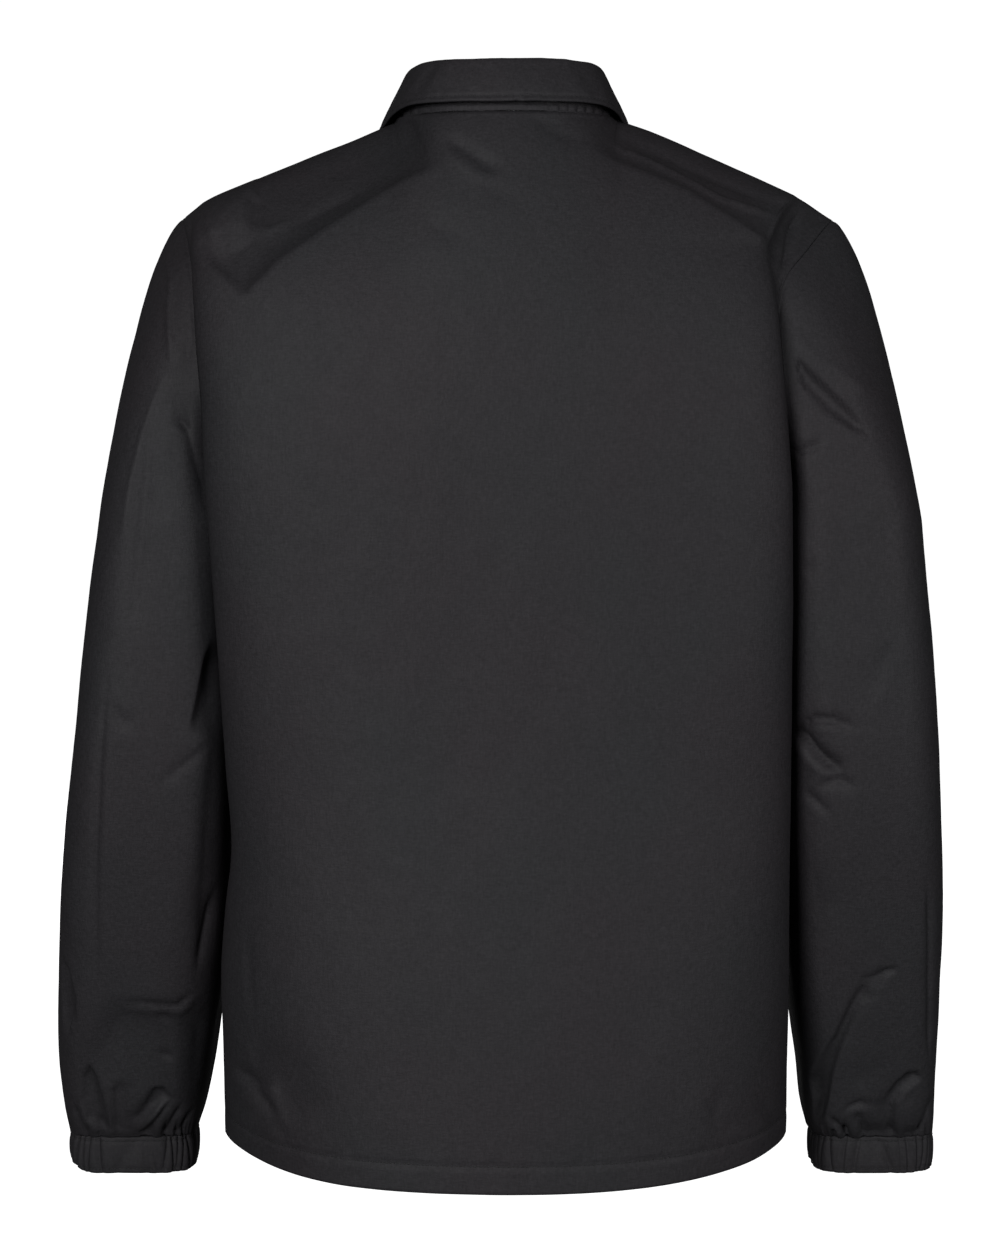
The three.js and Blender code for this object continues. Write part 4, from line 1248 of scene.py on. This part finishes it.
def leaf_net(stand):
    line, out, along, sign = collar_frame()
    folds = stand[-1]
    edge = line + out * read(LEAF_BACK, "out", along)[:, None]
    edge[:, 2] = line[:, 2] + read(LEAF_BACK, "up", along)
    x, z = read(LEAF_FRONT, "x", along), read(LEAF_FRONT, "z", along)
    rest = rest_y(sign, along, x, z)
    beyond = mix(line[:, 1] - 14, rest, smooth((along - 1) / 0.25))
    ahead = points(x * sign, np.minimum(beyond, rest), z)
    edge = np.where((along > 1)[:, None], ahead, edge)
    rows = [folds + out * shift + (0, 0, up) for shift, up in LEAF_ROLL]
    start = rows[-1]
    for share in (0.2, 0.4, 0.6, 0.8, 1):
        row = mix(start, edge, share) + out * LEAF_BULGE * math.sin(share * math.pi)
        width = np.abs(row[:, 0])
        left_top = column_top("left", "front", width)[1]
        right_top = column_top("right", "front", width)[1]
        low = row[:, 2] < np.where(sign > 0, left_top, right_top)
        lying = np.minimum(row[:, 1], rest_y(sign, along, width, row[:, 2]))
        row[:, 1] = np.where((along > 1.1) & low, lying, row[:, 1])
        rows.append(row)
    rows = np.array(rows)
    knots = np.linspace(0, 1, len(rows))
    at = np.linspace(0, 1, LEAF_ROWS)
    shape = rows.shape[1:]
    sheet = {"at": knots}
    fine = np.zeros((LEAF_ROWS, *shape))
    for k in range(shape[0]):
        for axis in range(3):
            sheet["value"] = rows[:, k, axis]
            fine[:, k, axis] = read(sheet, "value", at)
    return fine[:, ::-1]


def collar_cloth():
    stand = stand_net()
    normals = net_normals(stand, False)
    _, _, along, _ = collar_frame()
    up = np.linspace(0, 1, STAND_ROWS)[:, None] * read(STAND, "rise", along)
    x = stand[..., 0]
    push = groove(up, 2.0, 0.8)
    push += 0.7 * np.exp(-((up - 5.0) / 0.9) ** 2) * (normals[..., 1] > 0)
    gathered = smooth((5.5 - up) / 2) * smooth(up / 1.2) * (normals[..., 1] > 0)
    for place, depth in zip(NECK_PUCKERS["x"], NECK_PUCKERS["depth"]):
        push += 1.2 * depth * np.exp(-np.abs(x - place) / 1.3) * gathered
    outer = pull_back(stand - normals * push[..., None], ["first"], 0.5)
    piece = shell("collar_stand_cloth", turn_in(outer, ["first"], 2.4, False), False, NYLON, wall=COLLAR_SHELL)

    leaf = leaf_net(stand)
    normals = net_normals(leaf, False)
    edge = edge_distance(leaf, ["last"])
    ends = edge_distance(leaf, ["start", "end"])
    x = leaf[..., 0]
    near_back = smooth(normals[..., 1] * 2)
    push = groove(np.minimum(edge, ends) - LEAF_STITCH, 0.8, 0.8)
    push += np.sin(x / 1.7 + 2 * np.sin(x / 21)) * 0.18 * np.exp(-((edge - 5) / 2.4) ** 2)
    push += waves(leaf, 71, 8, 24, 60, 0.6) * 0.4
    push += crumple(leaf, 72, 9, 7, 18) * 0.14
    slanted = x + 15 + (edge - 4) * 1.6
    push += 0.9 * np.exp(-(slanted / 2.0) ** 2) * np.exp(-(edge / 7) ** 2) * near_back
    push += 1.2 * np.exp(-((x - 62 + edge * 0.5) / 5) ** 2) * near_back * smooth(edge / 8)
    push -= 0.8 * np.exp(-((x + 52 - edge * 0.4) / 6) ** 2) * near_back * smooth(edge / 8)
    outer = leaf - normals * (push * smooth(edge_distance(leaf, ["first"]) / 5))[..., None]
    return piece, outer, shell("collar_leaf_cloth", outer, False, NYLON, wall=COLLAR_SHELL)


stand_piece, leaf_surface, leaf_piece = collar_cloth()


# Stitching

STITCH_PITCH = 3.1
STITCH_LENGTH = 2.2
STITCH_RADIUS = 0.32
STITCH_SIDES = 5
STITCH_PROFILE = [(-0.5, 0.0), (-0.42, 0.75), (-0.2, 1.0), (0.2, 1.0), (0.42, 0.75), (0.5, 0.0)]


def surface_line(net, at_rows):
    """A line across a net that runs at a row place, which may differ in each column."""
    low = np.clip(np.floor(at_rows).astype(int), 0, net.shape[0] - 2)
    part = (at_rows - low)[:, None]
    columns = np.arange(net.shape[1])
    return mix(net[low, columns], net[low + 1, columns], part)


def stitches(paths, normal_paths, sink=0.1):
    """Short threads laid end to end along lines on the cloth."""
    vertices, faces = [], []
    angles = np.arange(STITCH_SIDES) / STITCH_SIDES * 2 * math.pi
    for path, normals in zip(paths, normal_paths):
        along = np.concatenate([[0], np.cumsum(length_of(np.diff(path, axis=0))[:, 0])])
        centres = np.arange(STITCH_PITCH, along[-1] - STITCH_PITCH, STITCH_PITCH)
        for centre in centres:
            ends = [centre - STITCH_LENGTH / 2, centre, centre + STITCH_LENGTH / 2]
            a, m, b = (np.array([np.interp(s, along, path[:, k]) for k in range(3)]) for s in ends)
            up = unit(np.array([np.interp(centre, along, normals[:, k]) for k in range(3)]))
            way = unit(b - a)
            side = unit(np.cross(way, up))
            start = len(vertices) * 1
            for share, swell in STITCH_PROFILE:
                spot = m + way * STITCH_LENGTH * share + up * (STITCH_RADIUS * 0.35 - sink)
                for angle in angles:
                    lift = side * math.cos(angle) * 1.15 + up * math.sin(angle)
                    vertices.append(spot + lift * STITCH_RADIUS * max(swell, 0.12))
            rings = len(STITCH_PROFILE)
            for r in range(rings - 1):
                for k in range(STITCH_SIDES):
                    k2 = (k + 1) % STITCH_SIDES
                    low = start + r * STITCH_SIDES
                    faces.append((low + k, low + k2, low + STITCH_SIDES + k2, low + STITCH_SIDES + k))
            faces.append(tuple(start + k for k in reversed(range(STITCH_SIDES))))
            last = start + (rings - 1) * STITCH_SIDES
            faces.append(tuple(last + k for k in range(STITCH_SIDES)))
    return np.array(vertices), faces


def sewn(name, lines):
    vertices, faces = stitches([line for line, _ in lines], [normals for _, normals in lines])
    return link_mesh(name, vertices, faces, THREAD)


def hem_line(net):
    height = above_hem(net[:60, :, 0], net[:60, :, 2])
    at = np.array([np.interp(HEM_DEPTH, height[:, c], np.arange(60)) for c in range(net.shape[1])])
    return surface_line(net, at), surface_line(net_normals(net, False), at)


def column_line(net, columns):
    normals = net_normals(net, False)
    return net[:, columns], normals[:, columns]


def offset_line(net, distance, edges):
    """A line at a distance from the last row of a net."""
    away = edge_distance(net, edges)
    rows = np.arange(net.shape[0])
    at = np.array([np.interp(-distance, -away[:, c], rows) for c in range(net.shape[1])])
    return surface_line(net, at), surface_line(net_normals(net, False), at)


hem_stitches = {
    "hem_stitches_back": [hem_line(back_surface)],
    "hem_stitches_front_left": [hem_line(front_left_surface[:, 2:])],
    "hem_stitches_front_right": [hem_line(front_right_surface[:, :-2])],
}
hem_pieces = [sewn(name, lines) for name, lines in hem_stitches.items()]
placket_columns = (1, LAP_STEPS + 5)
placket_piece = sewn("placket_stitches", [column_line(front_left_surface, c) for c in placket_columns])
leaf_stitches = sewn("collar_stitches", [offset_line(leaf_surface, LEAF_STITCH, ["last"])])


def ring_line(net, row):
    normals = net_normals(net, True)
    return np.concatenate([net[row], net[row, :1]]), np.concatenate([normals[row], normals[row, :1]])


cuff_pieces = [
    sewn(f"cuff_stitches_{side}", [ring_line(outer, 2), ring_line(outer, CUFF_ROWS - 3)])
    for side, (_, outer) in cuffs.items()
]


# Snaps: domed caps with a rolled rim, down the placket

SNAP_PROFILE = [
    (0.0, 0.98), (0.25, 0.97), (0.45, 0.92), (0.60, 0.84), (0.70, 0.77), (0.76, 0.80), (0.83, 0.83), (0.91, 0.78),
    (0.97, 0.62), (1.0, 0.38), (0.99, 0.15), (0.95, 0.0),
]
SNAP_SIDES = 48


def snap_cap(number):
    z = SNAP_TOP_Z - number * SNAP_PITCH

    def front_at(height):
        height = np.float64(height)
        if height > UNDERARM_Z:
            return np.array([0, upper_y("left", "front", 0.0, height), height])
        return np.array([0, section_y("left", "front", height, 0.0), height])

    rise = front_at(z + SNAP_RADIUS) - front_at(z - SNAP_RADIUS)
    normal = unit(np.array([0, -rise[2], rise[1]]))
    side = np.array([1.0, 0, 0])
    up = np.cross(normal, side)
    centre = front_at(z) + normal * 0.3
    vertices = [centre + normal * SNAP_HEIGHT * SNAP_PROFILE[0][1]]
    for radius, height in SNAP_PROFILE[1:]:
        for k in range(SNAP_SIDES):
            angle = k / SNAP_SIDES * 2 * math.pi
            around = side * math.cos(angle) + up * math.sin(angle)
            vertices.append(centre + around * radius * SNAP_RADIUS + normal * SNAP_HEIGHT * height)
    faces = [(0, 1 + k, 1 + (k + 1) % SNAP_SIDES) for k in range(SNAP_SIDES)]
    for r in range(len(SNAP_PROFILE) - 2):
        low = 1 + r * SNAP_SIDES
        for k in range(SNAP_SIDES):
            k2 = (k + 1) % SNAP_SIDES
            faces.append((low + k, low + SNAP_SIDES + k, low + SNAP_SIDES + k2, low + k2))
    last = 1 + (len(SNAP_PROFILE) - 2) * SNAP_SIDES
    faces.append(tuple(last + k for k in reversed(range(SNAP_SIDES))))
    return link_mesh(f"snap_cap_{number + 1}", vertices, faces, ENAMEL)


snap_pieces = [snap_cap(number) for number in range(SNAP_COUNT)]


# What each piece stands for: it hangs from the root, and its part in model.glb is hidden

def cloth(piece, node):
    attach(piece, "root")
    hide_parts(node)


cloth(back, "back_panel")
cloth(front_left, "front_left")
cloth(front_right, "front_right")
cloth(stand_piece, "collar_stand")
cloth(leaf_piece, "collar_leaf")
for side in ("left", "right"):
    cloth(sleeves[side][0], f"sleeve_{side}")
    piece = cuffs[side][0]
    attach(piece, "root")
    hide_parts(f"cuff_{side}")
for piece in (*hem_pieces, placket_piece, leaf_stitches, *cuff_pieces):
    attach(piece, "root")
for number, piece in enumerate(snap_pieces):
    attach(piece, "root")
    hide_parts(f"snap_{number + 1}")


# Studio: white surroundings, a pale floor, a broad soft light from the camera's side

FLOOR_Z = -0.9
FLOOR_SIZE = 30


def make_floor():
    mesh = bpy.data.meshes.new("floor")
    half = FLOOR_SIZE / 2
    corners = [(-half, -half, FLOOR_Z), (half, -half, FLOOR_Z), (half, half, FLOOR_Z), (-half, half, FLOOR_Z)]
    mesh.from_pydata(corners, [], [(0, 1, 2, 3)])
    floor = bpy.data.objects.new("floor", mesh)
    bpy.context.scene.collection.objects.link(floor)
    material = bpy.data.materials.new("pale_floor")
    nodes = Nodes(material)
    nodes.shader.inputs["Base Color"].default_value = (0.85, 0.85, 0.86, 1)
    nodes.shader.inputs["Roughness"].default_value = 0.8
    nodes.shader.inputs["Emission Color"].default_value = (1, 1, 1, 1)
    nodes.shader.inputs["Emission Strength"].default_value = 1.0
    mesh.materials.append(material)
    floor.visible_diffuse = False
    floor.visible_glossy = False


def make_light(name, place, aim, size, power):
    data = bpy.data.lights.new(name, "AREA")
    data.shape = "RECTANGLE"
    data.size, data.size_y = size
    data.energy = power
    light = bpy.data.objects.new(name, data)
    light.location = place
    way = np.array(aim) - np.array(place)
    flat = math.hypot(way[0], way[1])
    light.rotation_euler = (math.atan2(flat, -way[2]), 0, math.atan2(-way[0], way[1]))
    bpy.context.scene.collection.objects.link(light)


def make_world():
    """White to the eye, but dim as a source of light."""
    world = bpy.data.worlds.new("studio")
    bpy.context.scene.world = world
    world.use_nodes = True
    tree = world.node_tree
    tree.nodes.clear()
    path = tree.nodes.new("ShaderNodeLightPath")
    dim = tree.nodes.new("ShaderNodeBackground")
    dim.inputs["Color"].default_value = (1, 1, 1, 1)
    dim.inputs["Strength"].default_value = 0.04
    white = tree.nodes.new("ShaderNodeBackground")
    white.inputs["Color"].default_value = (1, 1, 1, 1)
    white.inputs["Strength"].default_value = 1.05
    choice = tree.nodes.new("ShaderNodeMixShader")
    output = tree.nodes.new("ShaderNodeOutputWorld")
    tree.links.new(path.outputs["Is Camera Ray"], choice.inputs[0])
    tree.links.new(dim.outputs[0], choice.inputs[1])
    tree.links.new(white.outputs[0], choice.inputs[2])
    tree.links.new(choice.outputs[0], output.inputs["Surface"])


make_floor()
make_world()
make_light("key", (1.3, 3.15, 0.4), (0, 0, -0.36), (1.2, 1.2), 66)
make_light("fill", (-2.1, 2.5, 0.05), (0, 0, -0.36), (1.2, 1.4), 32)
make_light("front_fill", (0.2, -3.2, 0.0), (0, 0, -0.35), (1.0, 1.2), 16)
bpy.context.scene.view_settings.view_transform = "Standard"
bpy.context.scene.view_settings.look = "None"

bpy.context.view_layer.update()
